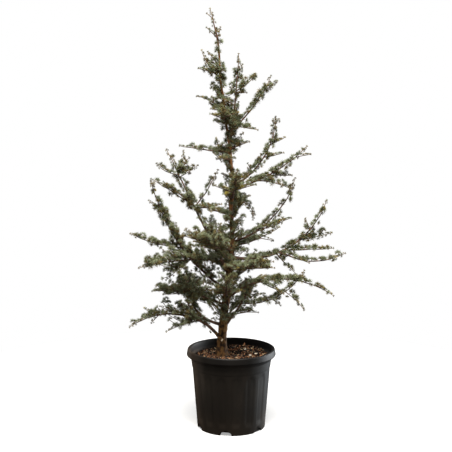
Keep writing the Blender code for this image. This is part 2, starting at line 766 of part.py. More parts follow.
# ---------------------------------------------------------------- the whole plant
def main():
    for old in list(bpy.data.objects):
        bpy.data.objects.remove(old)
    plastic = make_material("pot_plastic", (0.012, 0.012, 0.013), 0.45)
    earth = make_material("bark_mulch", (0.085, 0.040, 0.022), 0.95)
    bark = make_material("bark", (0.095, 0.050, 0.030), 0.90)
    green = make_material("needles", (0.105, 0.135, 0.095), 0.65)
    make_pot(plastic)
    make_soil(earth)
    make_trunk(bark)
    boughs, stems, twigs = plan_wood()
    tufts = plan_tufts(boughs, stems, twigs)
    for name, bough in boughs.items():
        make_bough(name, bough, bark)
    for name, stem in stems.items():
        make_mass(name, stem, twigs[name], tufts[name], name not in boughs, green)


main()
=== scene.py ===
"""Looks of the young cedar of Lebanon in its black nursery pot.

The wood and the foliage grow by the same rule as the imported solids: a short plan of named limbs, each with a
height on the trunk, a heading, a pitch that bends evenly, a length and forks. Here the rule goes on to side
twigs, spurs and rosettes of single needles. Metres, +Z up, headings in degrees anticlockwise from +X.
"""

from collections import namedtuple
from math import ceil, cos, exp, hypot, pi, radians, sin, sqrt
from random import Random

import bpy
import numpy as np
from mathutils import Matrix, Vector, noise


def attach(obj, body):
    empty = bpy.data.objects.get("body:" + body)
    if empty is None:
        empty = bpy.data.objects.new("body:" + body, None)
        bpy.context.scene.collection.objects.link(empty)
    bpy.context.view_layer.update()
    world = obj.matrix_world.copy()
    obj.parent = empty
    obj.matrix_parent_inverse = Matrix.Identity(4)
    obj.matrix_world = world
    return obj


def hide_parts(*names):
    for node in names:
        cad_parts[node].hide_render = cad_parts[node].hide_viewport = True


BODY = "root"
SEED = 2000

# ---------------------------------------------------------------- camera and studio
PHOTO_SIDE = 452
FOCAL_PIXELS = 970
SENSOR = 36.0
CAMERA_BACK = 3.97
CAMERA_HEIGHT = 1.373
CAMERA_DOWN = radians(7.5)
POT_COLUMN = 231.2
SKY_SEEN = 1.0
SKY_LIGHT = 0.56
SKY_COLOUR = (1.0, 0.98, 0.94, 1.0)
FLOOR_RADIUS = 1.7
FLOOR_GLOW = 0.36
FLOOR_SIDES = 96

# ---------------------------------------------------------------- pot
POT_HEIGHT = 0.335
RIM_RADIUS = 0.187
RIM_TOP_RADIUS = 0.183
RIM_THICKNESS = 0.010
RIM_ROUND = 0.003
LIP_HEIGHT = 0.026
LIP_CHAMFER = 0.016
COLLAR_RADIUS = 0.169
COLLAR_FOOT_RADIUS = 0.1650
COLLAR_FOOT = 0.262
COLLAR_INSIDE = COLLAR_FOOT - 0.006
WALL_TOP_RADIUS = 0.1628
WALL_TOP = 0.256
BASE_RADIUS = 0.1425
WALL = 0.003
FOOT_THICKNESS = 0.026
FLOOR = 0.004
FLOOR_DISC_RADIUS = 0.100
GROOVE_ROOF = 0.020
INNER_THROAT = 0.170
INNER_SOIL = 0.1640
FLUTES = 16
FLUTE_TURN = radians(-3.75)
FLUTE_SHARE = 0.66
FLUTE_DEPTH = 0.0032
FLUTE_FOOT = 0.036
FLUTE_TOP = 0.246
FLUTE_SLOPE = 0.22
# How deep each drain notch is cut, from the front one on anticlockwise: only two reach through the foot.
NOTCH_DEPTHS = (0.030, 0.008, 0.008, 0.030, 0.008, 0.008)
NOTCH_TURN = radians(260.6)
NOTCH_WIDTH = 0.049
NOTCH_HEIGHT = 0.016
# (share of the height, share of the width) up a notch, whose shoulders are rounded.
NOTCH_OUTLINE = ((-1.00, 1.00), (0.35, 0.95), (0.68, 0.84), (0.90, 0.64), (1.00, 0.36))
POT_SIDES = 216
WALL_RINGS = 26

# ---------------------------------------------------------------- bark mulch
SOIL_TOP = 0.295
SOIL_HEAVE = 0.007
HEAVES_PER_METRE = 22.0
GAP = 0.0003
TRUNK_SEAT = 0.040
HEAP = 0.015
HEAP_AT = (0.070, 0.085)
HEAP_WIDE = 0.075
MULCH_SIDES = 120
MULCH_RINGS = 44
BED_RADIUS = INNER_SOIL - 0.0006
BED_SUNK = 0.002
CRUMB_DEPTH = 0.0028
CRUMBS_PER_METRE = 90.0
Chips = namedtuple("Chips", "name dark pale count lengths thicknesses")
CHIP_KINDS = (
    Chips("mulch_dark", (0.004, 0.002, 0.001), (0.020, 0.009, 0.005), 820, (0.012, 0.034), (0.0014, 0.0036)),
    Chips("mulch_red", (0.066, 0.029, 0.012), (0.450, 0.198, 0.088), 430, (0.010, 0.030), (0.0010, 0.0026)),
    Chips("mulch_tan", (0.400, 0.240, 0.120), (0.900, 0.680, 0.420), 205, (0.007, 0.024), (0.0008, 0.0020)),
    Chips("mulch_pale", (0.600, 0.500, 0.360), (0.900, 0.850, 0.740), 44, (0.004, 0.013), (0.0006, 0.0016)),
)
CHIP_LIFT = (-0.0015, 0.0035)
CHIP_WIDTH_SHARE = (0.12, 0.34)
CHIP_CLEARANCE = 0.027
# (x, y, length, width) of the single pale flakes that stand up in front of the trunk and to its right.
PALE_FLAKES = (
    (0.006, -0.040, 0.008, 0.005),
    (0.060, 0.050, 0.011, 0.008),
    (0.079, -0.006, 0.012, 0.007),
    (0.104, 0.004, 0.013, 0.006),
)
FLAKE_THICKNESS = 0.0012
FLAKE_LIFT = 0.007
FLAKE_LEAN = radians(58)
FIBRES = 760
FIBRE_STEPS = 6
FIBRE_LENGTH = (0.012, 0.040)
FIBRE_RISE = (-4, 42)
FIBRE_CURL = (-170, 170)
FIBRE_RADIUS = 0.0008
# A few straws stand up at the left edge.
STRAWS = 30
STRAW_X = (-0.152, -0.115)
STRAW_Y = (-0.055, 0.015)
STRAW_LENGTH = (0.008, 0.020)
STRAW_RISE = (60, 88)
STRAW_CURL = 20
STRAW_RADIUS = 0.0007

# ---------------------------------------------------------------- trunk
TrunkPoint = namedtuple("TrunkPoint", "height x y radius")
TRUNK_LINE = [TrunkPoint(*row) for row in (
    (0.295, -0.040, 0.020, 0.0190),
    (0.400, -0.036, 0.018, 0.0178),
    (0.520, -0.024, 0.012, 0.0165),
    (0.650, -0.009, 0.004, 0.0130),
    (0.790, 0.004, 0.000, 0.0100),
    (0.930, -0.001, 0.004, 0.0088),
    (1.035, 0.010, 0.002, 0.0082),
    (1.110, -0.003, 0.000, 0.0078),
    (1.185, -0.007, 0.002, 0.0070),
    (1.265, -0.021, 0.006, 0.0055),
    (1.365, -0.032, 0.004, 0.0048),
    (1.460, -0.046, 0.002, 0.0045),
    (1.540, -0.049, 0.000, 0.0043),
    (1.612, -0.056, 0.000, 0.0036),
)]
TRUNK_SIDES = 40
TRUNK_RING_STEP = 0.0030
STUB_HEIGHT = 0.372
STUB_LINE = (
    (-0.028, -0.002, 0.026),
    (-0.019, -0.013, 0.013),
    (-0.008, -0.021, 0.004),
    (-0.001, -0.029, -0.001),
)
STUB_RADII = (0.0062, 0.0064, 0.0064, 0.0060)
STUB_SIDES = 12
STUB_CUT_RADIUS = 0.0058
STUB_CUT_DEPTH = 0.0007
FLARE = 0.010
FLARE_HEIGHT = 0.055
FOOT_GAIN = 0.13
FOOT_HEIGHTS = (0.30, 0.46)
FLARE_LOBES = 5
FLARE_LOBE_DEPTH = 0.35
# Heights between which the old bark gives way to smooth bark.
OLD_BARK = (0.50, 1.10)
# The bark's relief: depths, and how fine each pattern is per metre across the trunk and up it.
BARK_SUNK = 0.0016
PLATE_DEPTH = 0.0026
PLATE_GRAIN = (105, 38)
PLATE_GAIN = 3.2
FLAKE_DEPTH = 0.0007
FLAKE_GRAIN = (330, 150)
RIPPLE_DEPTH = 0.00025
RIPPLE_GRAIN = (200, 420)
# The swelling of the trunk round a limb's root, in radii of the limb.
COLLAR_SWELL = 0.42
COLLAR_TALL = 2.2
COLLAR_WIDE = 1.6

# ---------------------------------------------------------------- limbs
SHOOT_RADIUS = 0.0014
RADIUS_FLOOR = 0.0012
RADIUS_GAIN = 0.0051
TAPER = 0.8
FORK_SHARE_OF_PARENT = 0.8
# The limbs that leave the trunk below this height are stouter by this factor.
STOUT_BELOW = 0.450
STOUT_GAIN = 1.42
WALK_STEPS = 96
WOBBLE = 0.0022
WOBBLE_PER_METRE = 24.0
WOBBLE_RAMP = 0.050
LIMB_RING_STEP = 0.005
TWIG_RING_STEP = 0.008
TIP_LENGTH = 0.050
TIP_SHARE = 0.45
# The share of a limb's planned bare length that stays bare, and the bare lengths past trunk, fork and twig.
BARE_SHARE = 0.55
TRUNK_BARE = 0.006
FORK_BARE = 0.010
TWIG_BARE = 0.004

# ---------------------------------------------------------------- twigs
SHORTEST_BRANCHED = 0.07
TWIG_STEPS = 8
TWIG_ROOT = 0.0016
TWIG_SPACING = 0.034
TWIG_TURN = (35, 100)
TWIG_LEAN = (0.35, 0.9)
TWIG_LENGTH = (0.018, 0.042)
TWIG_LIFT = 0.05
TWIG_FOLLOW = 0.03
TRUNK_TWIG_LIFT = 0.06
# (height from which it holds, spacing, longest) of the fine twigs on the trunk.
TRUNK_TWIGS = (
    (0.42, 0.016, 0.080), (0.58, 0.015, 0.080), (0.80, 0.012, 0.070), (1.00, 0.022, 0.040),
    (1.12, 0.009, 0.060), (1.36, 0.012, 0.052),
)
TRUNK_TWIG_TOP = 1.50
# The crown is closest low down, round the trunk and to its left: there limbs branch up to DENSE times more.
DENSE = 2.7
DENSE_TOP = (0.76, 0.96)
DENSE_FOOT = (0.34, 0.48)
DENSE_RIGHT = (0.00, 0.10)
DENSE_LEFT = (-0.35, -0.24)
LOWEST = (0.49, 0.55)
LOWEST_GAIN = 0.40
BARE_REACH = (0.04, 0.10)
BARE_TOP = (0.46, 0.58)
CLUMPS_PER_METRE = 20.0
CLUMP_GAIN = 1.2

# ---------------------------------------------------------------- rosettes and needles
CLUSTER_SPACING = 0.0178
CLUSTER_SPREAD = 0.0035
SPUR_LENGTH = (0.004, 0.0085)
SPUR_RADIUS = 0.0010
LIMB_ROSETTES = 2.3
LIMB_END_SIZE = 0.42
TWIG_ROSETTES = 1.55
TWIG_ROSETTE_SIZE = 0.82
TWIG_END_SIZE = 0.80
# The last stretch of a limb is this year's growth, with small rosettes.
YOUNG_LENGTH = 0.076
YOUNG_SHARE = 0.62
YOUNG_SIZE = 0.30
YOUNG_SIZE_GAIN = 0.44
TIP_CLEAR = 0.004
# The leader and its forks are this year's growth along their whole length, as if cut from a longer shoot.
YOUNG_LIMBS = ("leader",)
YOUNG_REACH = 1.6
# How often a rosette on an upright shoot sits on its lower side.
UNDERSIDE_SHARE = 0.55
ROSETTE_TURNS = {0: (), 1: (0,), 2: (-32, 32), 3: (-48, 0, 48), 4: (-66, -22, 22, 66)}
ROSETTE_TURN_JITTER = 18
ROSETTE_LEAN = (0.05, 0.55)
ROSETTE_SIZE = (0.78, 1.12)
# (height from which it holds, spacing) of the clusters on the trunk.
TRUNK_FOLIAGE = ((0.70, 0.060), (0.90, 0.032), (1.00, 0.070), (1.12, 0.022), (1.20, 0.020), (1.50, 0.050))
TEMPLATES = 14
NEEDLE_COUNTS = (44, 50)
NEEDLE_LENGTH = 0.0158
NEEDLE_HALF_WIDTH = 0.00078
NEEDLE_WAIST = 0.50
NEEDLE_ROOT = 0.0006
NEEDLE_UPTURN = (-0.02, 0.12)
NEEDLE_FACES = np.array([(0, 1, 3), (0, 3, 2)])
GOLDEN_TURN = 2.39996
# A colour of needles, how far it varies, and how often a rosette on old wood and one at a tip takes it.
Green = namedtuple("Green", "name colour spread on_old_wood at_tips")
GREENS = (
    Green("needles_pale_grey_1", (0.214, 0.232, 0.142), 0.16, 28, 8),
    Green("needles_grey_green_1", (0.130, 0.145, 0.078), 0.18, 34, 22),
    Green("needles_deep_green_1", (0.102, 0.099, 0.041), 0.20, 29, 13),
    Green("needles_olive_1", (0.166, 0.130, 0.056), 0.22, 8, 44),
    Green("needles_yellow_green_1", (0.300, 0.245, 0.060), 0.18, 0, 7),
)
# The needles that point down under each rosette, coloured darker as painted shade for hanging out of the
# light.
SHADED = Green("needles_shaded_1", (0.110, 0.078, 0.025), 0.22, 0, 0)
SHADED_LIFT = -0.38
# (x, z) of the few sprays on the crown's front whose new needles are bright yellow.
BRIGHT_SPRAYS = ((-0.015, 0.992), (0.038, 1.012), (-0.013, 1.486))
BRIGHT_REACH = 0.013

# ---------------------------------------------------------------- plan of the limbs
# A height on the trunk, a heading, a pitch that bends evenly over the limb, a length and a bare length.
Limb = namedtuple("Limb", "name height heading pitch bend length bare forks")
Fork = namedtuple("Fork", "share heading pitch bend length forks")


def fork(share, heading, pitch, bend, length, *forks):
    return Fork(share, heading, pitch, bend, length, [fork(*f) for f in forks])


def limb(name, height, heading, pitch, bend, length, bare, *forks):
    """A limb of the plan. Each fork is (share along its parent, heading, pitch, bend, length, its forks)."""
    return Limb(name, height, heading, pitch, bend, length, bare, [fork(*f) for f in forks])


LIMBS = (
    # The leader, and the shoots round the top.
    limb("leader", 1.614, 180, 76, 0, 0.122, 0,
         (0.65, 190, 40, 0, 0.032), (0.02, 185, 43, 0, 0.060), (0.02, 0, 68, 10, 0.045)),
    limb("top_left", 1.455, 188, 38, 36, 0.135, 0,
         (0.20, 205, 15, 0, 0.075)),
    limb("top_left_upper", 1.502, 200, 48, 0, 0.075, 0),
    limb("top_left_back", 1.486, 162, 35, 0, 0.075, 0),
    limb("second_leader", 1.184, 315, 78, 8, 0.370, 0,
         (0.22, 324, -7, 0, 0.125), (0.34, 165, 25, 0, 0.055), (0.44, 200, 30, 0, 0.060),
         (0.50, 70, 35, 0, 0.055), (0.26, 330, 72, 0, 0.085), (0.57, 20, 5, 0, 0.045),
         (0.60, 350, 20, 40, 0.105), (0.72, 10, 65, 10, 0.065)),
    limb("high_left_twig", 1.400, 170, 20, 0, 0.045, 0),
    limb("high_left", 1.300, 172, 60, -50, 0.148, 0,
         (0.20, 200, 10, 0, 0.045), (0.45, 230, 60, 0, 0.035)),
    limb("high_right", 1.235, 8, 36, 32, 0.295, 0,
         (0.75, 340, 32, 10, 0.075)),
    limb("high_front", 1.265, 262, 25, 20, 0.140, 0,
         (0.35, 200, 20, 0, 0.065), (0.45, 335, 20, 0, 0.065)),
    limb("high_back", 1.220, 75, 40, 10, 0.160, 0,
         (0.50, 40, 30, 0, 0.060), (0.50, 110, 30, 0, 0.060)),
    # The middle of the crown.
    limb("middle_right_twig", 1.168, 337, 20, 0, 0.090, 0,
         (0.16, 20, 55, 0, 0.075)),
    limb("straight_left", 1.155, 180, 4, 6, 0.207, 0,
         (0.35, 320, -40, 0, 0.065)),
    limb("middle_front_twig", 1.125, 250, 0, 20, 0.075, 0,
         (0.40, 190, 10, 0, 0.040), (0.40, 320, 10, 0, 0.040)),
    limb("high_back_bough", 1.060, 112, 30, 15, 0.240, 0,
         (0.45, 80, 20, 0, 0.080), (0.55, 145, 20, 0, 0.080)),
    limb("middle_left_twig", 1.025, 150, 40, -10, 0.070, 0),
    limb("rising_right", 1.015, 18, 26, 62, 0.355, 0.080,
         (0.28, 170, 60, 0, 0.040), (0.40, 60, 70, 0, 0.045), (0.50, 345, 5, 15, 0.085),
         (0.66, 20, 25, 0, 0.075), (0.90, 190, 75, 0, 0.025), (0.90, 0, 55, 0, 0.030)),
    limb("reaching_right", 1.005, 342, 15, 30, 0.360, 0.080,
         (0.28, 40, 30, 0, 0.050), (0.30, 330, 0, -20, 0.155), (0.45, 15, -2, 0, 0.100),
         (0.82, 330, 15, -5, 0.070)),
    limb("front_middle", 0.965, 275, 18, 25, 0.270, 0,
         (0.30, 215, 20, 0, 0.100), (0.40, 325, 15, 0, 0.110), (0.48, 350, 60, 0, 0.070),
         (0.55, 240, 50, 0, 0.070), (0.70, 310, 20, 0, 0.060)),
    limb("drooping_right", 0.945, 20, 25, -125, 0.150, 0),
    limb("middle_left", 0.895, 190, 15, 10, 0.140, 0,
         (0.40, 230, 10, 0, 0.060), (0.50, 150, 30, 0, 0.060)),
    limb("middle_back", 0.860, 82, 25, 20, 0.320, 0,
         (0.45, 50, 15, 0, 0.100), (0.55, 115, 15, 0, 0.090)),
    limb("arching_right", 0.783, 350, 18, 56, 0.390, 0.080,
         (0.28, 330, 20, 5, 0.175)),
    limb("right_back", 0.765, 28, 6, 20, 0.240, 0,
         (0.35, 60, 30, 0, 0.070), (0.55, 355, -10, 0, 0.060)),
    # The broad lower crown.
    limb("front_left", 0.750, 240, 10, 15, 0.350, 0.070,
         (0.40, 190, 15, 0, 0.090), (0.55, 280, 15, 0, 0.080), (0.75, 210, 20, 0, 0.070)),
    limb("swept_right", 0.720, 350, -9, 82, 0.505, 0.110,
         (0.38, 350, -50, 10, 0.120), (0.40, 322, -10, 0, 0.155), (0.42, 338, -28, 60, 0.285),
         (0.45, 345, 2, 5, 0.205), (0.60, 10, 5, 12, 0.140), (0.72, 170, 70, 0, 0.050)),
    limb("level_left", 0.700, 207, 12, -22, 0.410, 0.100,
         (0.45, 195, -38, 0, 0.130), (0.80, 150, 20, 0, 0.050), (0.85, 210, -15, 0, 0.040)),
    limb("tall_left", 0.650, 163, 60, 4, 0.580, 0.130,
         (0.53, 345, 0, 20, 0.115), (0.54, 350, 48, 20, 0.185), (0.55, 195, 33, 0, 0.205),
         (0.56, 210, 36, 0, 0.170), (0.78, 345, 25, 15, 0.095), (0.80, 190, 5, 45, 0.105),
         (0.81, 340, 52, 0, 0.085), (0.82, 20, 50, 45, 0.095)),
    limb("low_back", 0.620, 95, 20, 15, 0.420, 0.110,
         (0.45, 60, 10, 0, 0.130), (0.50, 135, 10, 0, 0.130), (0.75, 115, 10, 0, 0.080)),
    limb("low_right_back", 0.607, 25, 36, -15, 0.250, 0,
         (0.50, 350, -5, 0, 0.070), (0.60, 60, 40, 0, 0.060)),
    limb("long_left", 0.580, 196, 34, 44, 0.585, 0.130,
         (0.46, 180, 3, 25, 0.220), (0.50, 330, 60, 0, 0.050), (0.60, 340, 60, 0, 0.040),
         (0.74, 190, 45, 0, 0.080)),
    limb("front_right", 0.672, 296, 4, 22, 0.340, 0.070,
         (0.35, 255, 10, 0, 0.110), (0.45, 340, 5, 0, 0.120), (0.62, 270, 25, 0, 0.080),
         (0.75, 330, 15, 0, 0.070)),
    limb("front_low", 0.557, 270, 14, 22, 0.280, 0,
         (0.30, 220, 15, 0, 0.090), (0.42, 325, 10, 0, 0.090), (0.65, 235, 15, 0, 0.060)),
    limb("low_right", 0.538, 338, 43, -73, 0.500, 0.100,
         (0.33, 20, 35, 0, 0.045), (0.35, 318, -15, 0, 0.130), (0.62, 15, 10, 0, 0.060),
         (0.80, 325, -10, 0, 0.060)),
    limb("low_left", 0.515, 172, 24, -30, 0.320, 0.070,
         (0.50, 150, 10, 0, 0.090), (0.55, 205, 0, 0, 0.100), (0.75, 180, 5, 0, 0.060)),
    limb("lowest_back_left", 0.470, 122, 22, -10, 0.390, 0.090,
         (0.45, 155, 5, 0, 0.120), (0.60, 90, 10, 0, 0.100)),
    limb("front_lowest_twig", 0.452, 268, 12, 20, 0.130, 0,
         (0.35, 215, 10, 0, 0.060), (0.55, 320, 10, 0, 0.050)),
    limb("lowest_back_right", 0.450, 62, 20, 0, 0.390, 0.090,
         (0.45, 30, 5, 0, 0.120), (0.60, 95, 10, 0, 0.100)),
    limb("upturned_left", 0.430, 187, 8, 105, 0.310, 0.200,
         (0.30, 200, 15, 0, 0.100), (0.60, 148, 38, 0, 0.080)),
    limb("forked_right", 0.420, 340, 48, 15, 0.225, 0.210,
         (0.33, 350, 15, -15, 0.105),
         (0.60, 335, 0, 60, 0.335, (0.42, 330, -25, -10, 0.045), (0.62, 330, -25, -25, 0.110)),
         (0.78, 190, 50, 0, 0.045), (0.72, 60, 30, 0, 0.045)),
    limb("lowest_left", 0.362, 188, 56, -92, 0.440, 0.090,
         (0.30, 207, -2, -20, 0.155), (0.55, 185, 35, -10, 0.070), (0.70, 205, -45, 0, 0.045),
         (0.75, 165, 40, 0, 0.050)),
)


# ---------------------------------------------------------------- curves
def direction(heading, pitch):
    a, e = radians(heading), radians(pitch)
    return Vector((cos(e) * cos(a), cos(e) * sin(a), sin(e)))


def smooth_step(value, low, high):
    t = min(max((value - low) / (high - low), 0.0), 1.0)
    return t * t * (3 - 2 * t)


def turns(count):
    """The angles of one full turn in even steps."""
    return [2 * pi * k / count for k in range(count)]


def walk(start, heading, pitch, bend, length):
    """Points along a limb whose pitch turns evenly by bend, with the small crooks that real shoots have."""
    step = length / WALK_STEPS
    line = [Vector(start)]
    for i in range(WALK_STEPS):
        share = (i + 0.5) / WALK_STEPS
        line.append(line[-1] + direction(heading, pitch + bend * share) * step)
    points = []
    for i, point in enumerate(line):
        ramp = min(1.0, i * step / WOBBLE_RAMP)
        points.append(point + noise.noise_vector(point * WOBBLE_PER_METRE) * WOBBLE * ramp)
    return points


def rise(start, aim, length, lift, follow):
    """Points along a twig that sets out along aim, and is drawn up and along its parent at each step."""
    points = [start]
    for _ in range(TWIG_STEPS):
        aim = (aim + Vector((0, 0, lift)) + follow).normalized()
        points.append(points[-1] + aim * length / TWIG_STEPS)
    return points


def along(points, share):
    """The point at a share of an evenly walked line."""
    place = min(max(share, 0.0), 1.0) * (len(points) - 1)
    i = min(int(place), len(points) - 2)
    return points[i].lerp(points[i + 1], place - i)


def tangent(points, share):
    nudge = 1.5 / len(points)
    return (along(points, share + nudge) - along(points, share - nudge)).normalized()


def upper_frame(ahead):
    """The directions above a limb and to its side, square to it."""
    side = ahead.cross(Vector((0, 0, 1)))
    side = side.normalized() if side.length > 0.1 else ahead.orthogonal().normalized()
    return side.cross(ahead), side


def trunk_at(height):
    """The trunk's axis point and radius at a height, on a smooth line through TRUNK_LINE."""
    line = TRUNK_LINE
    height = min(max(height, line[0].height), line[-1].height)
    i = max(k for k in range(len(line) - 1) if height >= line[k].height)
    a, b = line[i], line[i + 1]
    before, after = line[max(i - 1, 0)], line[min(i + 2, len(line) - 1)]
    span = b.height - a.height
    t = (height - a.height) / span

    def smooth(field):
        p, q = getattr(a, field), getattr(b, field)
        slope_a = (q - getattr(before, field)) / (b.height - before.height) * span
        slope_b = (getattr(after, field) - p) / (after.height - a.height) * span
        return (p * (1 + 2 * t) * (1 - t) ** 2 + slope_a * t * (1 - t) ** 2
                + q * t * t * (3 - 2 * t) + slope_b * t * t * (t - 1))

    return Vector((smooth("x"), smooth("y"), height)), smooth("radius")


def carried(part):
    """The length of a limb with everything that it carries."""
    return part.length + sum(carried(f) for f in part.forks)


def root_radius(part):
    return RADIUS_FLOOR + RADIUS_GAIN * sqrt(carried(part))


def radius_at(root, share):
    return root + (SHOOT_RADIUS - root) * share ** TAPER


# ---------------------------------------------------------------- joined meshes
def linked(name, data):
    """A new object in the scene."""
    made = bpy.data.objects.new(name, data)
    bpy.context.scene.collection.objects.link(made)
    return made


class Bunch:
    """Many small shapes, gathered as arrays and made into one mesh."""

    def __init__(self):
        self.vertices, self.faces, self.count = [], [], 0

    def add(self, vertices, *faces):
        """Adds one shape: its vertices, and arrays of faces with one number of corners each."""
        self.vertices.append(np.asarray(vertices, np.float32).reshape(-1, 3))
        self.faces += [np.asarray(block, np.int32) + self.count for block in faces if len(block)]
        self.count += len(self.vertices[-1])

    def mesh(self, name, smooth=False):
        mesh = bpy.data.meshes.new(name)
        corners = np.concatenate([block.ravel() for block in self.faces])
        sizes = np.concatenate([np.full(len(block), block.shape[1], np.int32) for block in self.faces])
        mesh.vertices.add(self.count)
        mesh.vertices.foreach_set("co", np.concatenate(self.vertices).ravel())
        mesh.loops.add(len(corners))
        mesh.loops.foreach_set("vertex_index", corners)
        mesh.polygons.add(len(sizes))
        mesh.polygons.foreach_set("loop_start", np.concatenate(([0], np.cumsum(sizes)[:-1])).astype(np.int32))
        mesh.polygons.foreach_set("use_smooth", np.full(len(sizes), smooth))
        mesh.update(calc_edges=True)
        mesh.validate()
        return mesh

    def piece(self, name, material, slot, replaced, smooth=False):
        """The gathered shapes as one piece of the object, which stands for the replaced nodes."""
        made = linked(name, self.mesh(name, smooth))
        made.data.materials.append(material)
        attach(made, BODY)
        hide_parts(*replaced)
        return made


def ring_faces(rings, sides):
    """The quads between rings of a tube, and its two end caps."""
    i, j = np.meshgrid(np.arange(rings - 1), np.arange(sides), indexing="ij")
    across = (j + 1) % sides
    low, high = i * sides, (i + 1) * sides
    quads = np.stack((low + j, low + across, high + across, high + j), -1).reshape(-1, 4)
    foot = np.arange(sides)[::-1].reshape(1, -1)
    head = (np.arange(sides) + (rings - 1) * sides).reshape(1, -1)
    return quads, np.concatenate((foot, head))


def carried_frames(points):
    """Two directions square to a line at each of its points, carried along it without twisting."""
    ahead = np.gradient(points, axis=0)
    ahead /= np.linalg.norm(ahead, axis=1, keepdims=True)
    across = np.array(Vector(ahead[0]).orthogonal())
    first, second = [], []
    for direction_here in ahead:
        across = across - direction_here * across.dot(direction_here)
        across /= np.linalg.norm(across)
        first.append(across)
        second.append(np.cross(direction_here, across))
    return np.array(first), np.array(second)


def add_tube(bunch, points, radii, sides):
    """Adds a tube along points. radii has one radius for each point, or one for each point and side."""
    points = np.array([tuple(p) for p in points], float)
    radii = np.asarray(radii, float)
    radii = np.broadcast_to(radii.reshape(len(points), -1), (len(points), sides))
    first, second = carried_frames(points)
    angles = 2 * pi * np.arange(sides) / sides
    spokes = first[:, None] * np.cos(angles)[:, None] + second[:, None] * np.sin(angles)[:, None]
    bunch.add(points[:, None] + spokes * radii[:, :, None], *ring_faces(len(points), sides))


# ---------------------------------------------------------------- materials
# Colours are linear (red, green, blue), and each ramp is a row of (place, colour) stops.
TRUNK_PATCHES = (
    (0.36, (0.016, 0.008, 0.003)),
    (0.47, (0.056, 0.027, 0.008)),
    (0.58, (0.175, 0.088, 0.027)),
    (0.72, (0.080, 0.056, 0.016)),
)
# What the patches are multiplied by from the trunk's foot to its top.
TRUNK_AGE = (
    (0.04, (0.66, 0.62, 0.58)),
    (0.13, (1.10, 1.10, 1.10)),
    (0.18, (0.62, 0.58, 0.54)),
    (0.32, (0.62, 0.56, 0.54)),
    (0.37, (1.25, 1.10, 1.35)),
    (0.55, (1.45, 1.25, 1.45)),
    (0.80, (1.20, 1.00, 0.90)),
)
LIMB_BARK = (
    (0.30, (0.028, 0.014, 0.008)),
    (0.50, (0.080, 0.038, 0.021)),
    (0.68, (0.136, 0.068, 0.037)),
    (0.85, (0.104, 0.070, 0.038)),
)
YOUNG_BARK = ((0.30, (0.080, 0.048, 0.015)), (0.70, (0.170, 0.110, 0.036)))
TWIG_BARK = ((0.30, (0.045, 0.020, 0.010)), (0.70, (0.135, 0.068, 0.034)))
CUT_WOOD = ((0.30, (0.55, 0.42, 0.27)), (0.70, (0.80, 0.68, 0.50)))
# The pot from its left to its right: brown dust and painted light, black, then painted light in grey.
POT_DUST_AND_PAINTED_LIGHT_ACROSS = (
    (0.015, (0.300, 0.260, 0.215)),
    (0.07, (0.110, 0.082, 0.060)),
    (0.14, (0.052, 0.041, 0.032)),
    (0.21, (0.020, 0.016, 0.0120)),
    (0.34, (0.015, 0.0115, 0.0085)),
    (0.52, (0.0185, 0.0145, 0.0110)),
    (0.70, (0.0145, 0.0125, 0.0105)),
    (0.84, (0.031, 0.031, 0.031)),
    (0.95, (0.070, 0.072, 0.075)),
)
# What that is multiplied by from the pot's foot to its rim, with painted shade on the rim, and then by its
# specks of dust.
POT_DUST_AND_PAINTED_SHADE_UP = (
    (0.00, (0.98, 0.88, 0.78)),
    (0.30, (0.68, 0.68, 0.68)),
    (0.70, (0.85, 0.85, 0.85)),
    (0.84, (1.00, 1.00, 1.00)),
    (0.91, (1.00, 1.00, 1.00)),
    (0.93, (0.25, 0.24, 0.24)),
)
POT_SPECKS = ((0.35, (0.78, 0.76, 0.74)), (0.58, (1.0, 1.0, 1.0)), (0.80, (1.7, 1.5, 1.3)))
FLOOR_SHADES = ((0.30, (0.44, 0.44, 0.44)), (0.70, (0.46, 0.46, 0.46)))
WHITE = (1.0, 1.0, 1.0, 1.0)


def feed(tree, node, inputs):
    """Sets a node's inputs by name, each to a value or to the socket that feeds it."""
    for name, source in inputs.items():
        if isinstance(source, bpy.types.NodeSocket):
            tree.links.new(source, node.inputs[name])
        else:
            node.inputs[name].default_value = source


def add_node(tree, kind, inputs):
    made = tree.nodes.new("ShaderNode" + kind)
    feed(tree, made, inputs)
    return made


def new_material(name, roughness):
    """A material with its tree and its Principled shader, to which nothing is linked yet."""
    material = bpy.data.materials.new(name)
    material.use_nodes = True
    shader = material.node_tree.nodes["Principled BSDF"]
    shader.inputs["Roughness"].default_value = roughness
    return material, material.node_tree, shader


def own_place(tree):
    """A point's place in the object's own coordinates."""
    return add_node(tree, "TexCoord", {}).outputs["Object"]


def noise_in(tree, scale, detail, stretch=(1, 1, 1)):
    """Noise that is drawn out along an axis where stretch is small."""
    mapping = add_node(tree, "Mapping", {"Vector": own_place(tree), "Scale": stretch})
    inputs = {"Vector": mapping.outputs["Vector"], "Scale": scale, "Detail": detail}
    return add_node(tree, "TexNoise", inputs).outputs["Fac"]


def place_along(tree, axis, low, high):
    """How far along one axis a point lies: 0 at low and 1 at high."""
    split = add_node(tree, "SeparateXYZ", {"Vector": own_place(tree)})
    spread = add_node(tree, "MapRange", {"Value": split.outputs[axis], "From Min": low, "From Max": high})
    return spread.outputs["Result"]


def colour_ramp(tree, source, stops):
    """A colour that follows source through the stops."""
    ramp = add_node(tree, "ValToRGB", {"Fac": source})
    elements = ramp.color_ramp.elements
    while len(elements) < len(stops):
        elements.new(0.5)
    for element, (place, colour) in zip(elements, stops):
        element.position = place
        element.color = (*colour, 1.0)
    return ramp.outputs["Color"]


def multiplied(tree, first, second):
    mix = tree.nodes.new("ShaderNodeMix")
    mix.data_type = "RGBA"
    mix.blend_type = "MULTIPLY"
    feed(tree, mix, {"Factor": 1.0, "A": first, "B": second})
    return mix.outputs["Result"]


def roughness_over(tree, source, low, high):
    return add_node(tree, "MapRange", {"Value": source, "To Min": low, "To Max": high}).outputs["Result"]


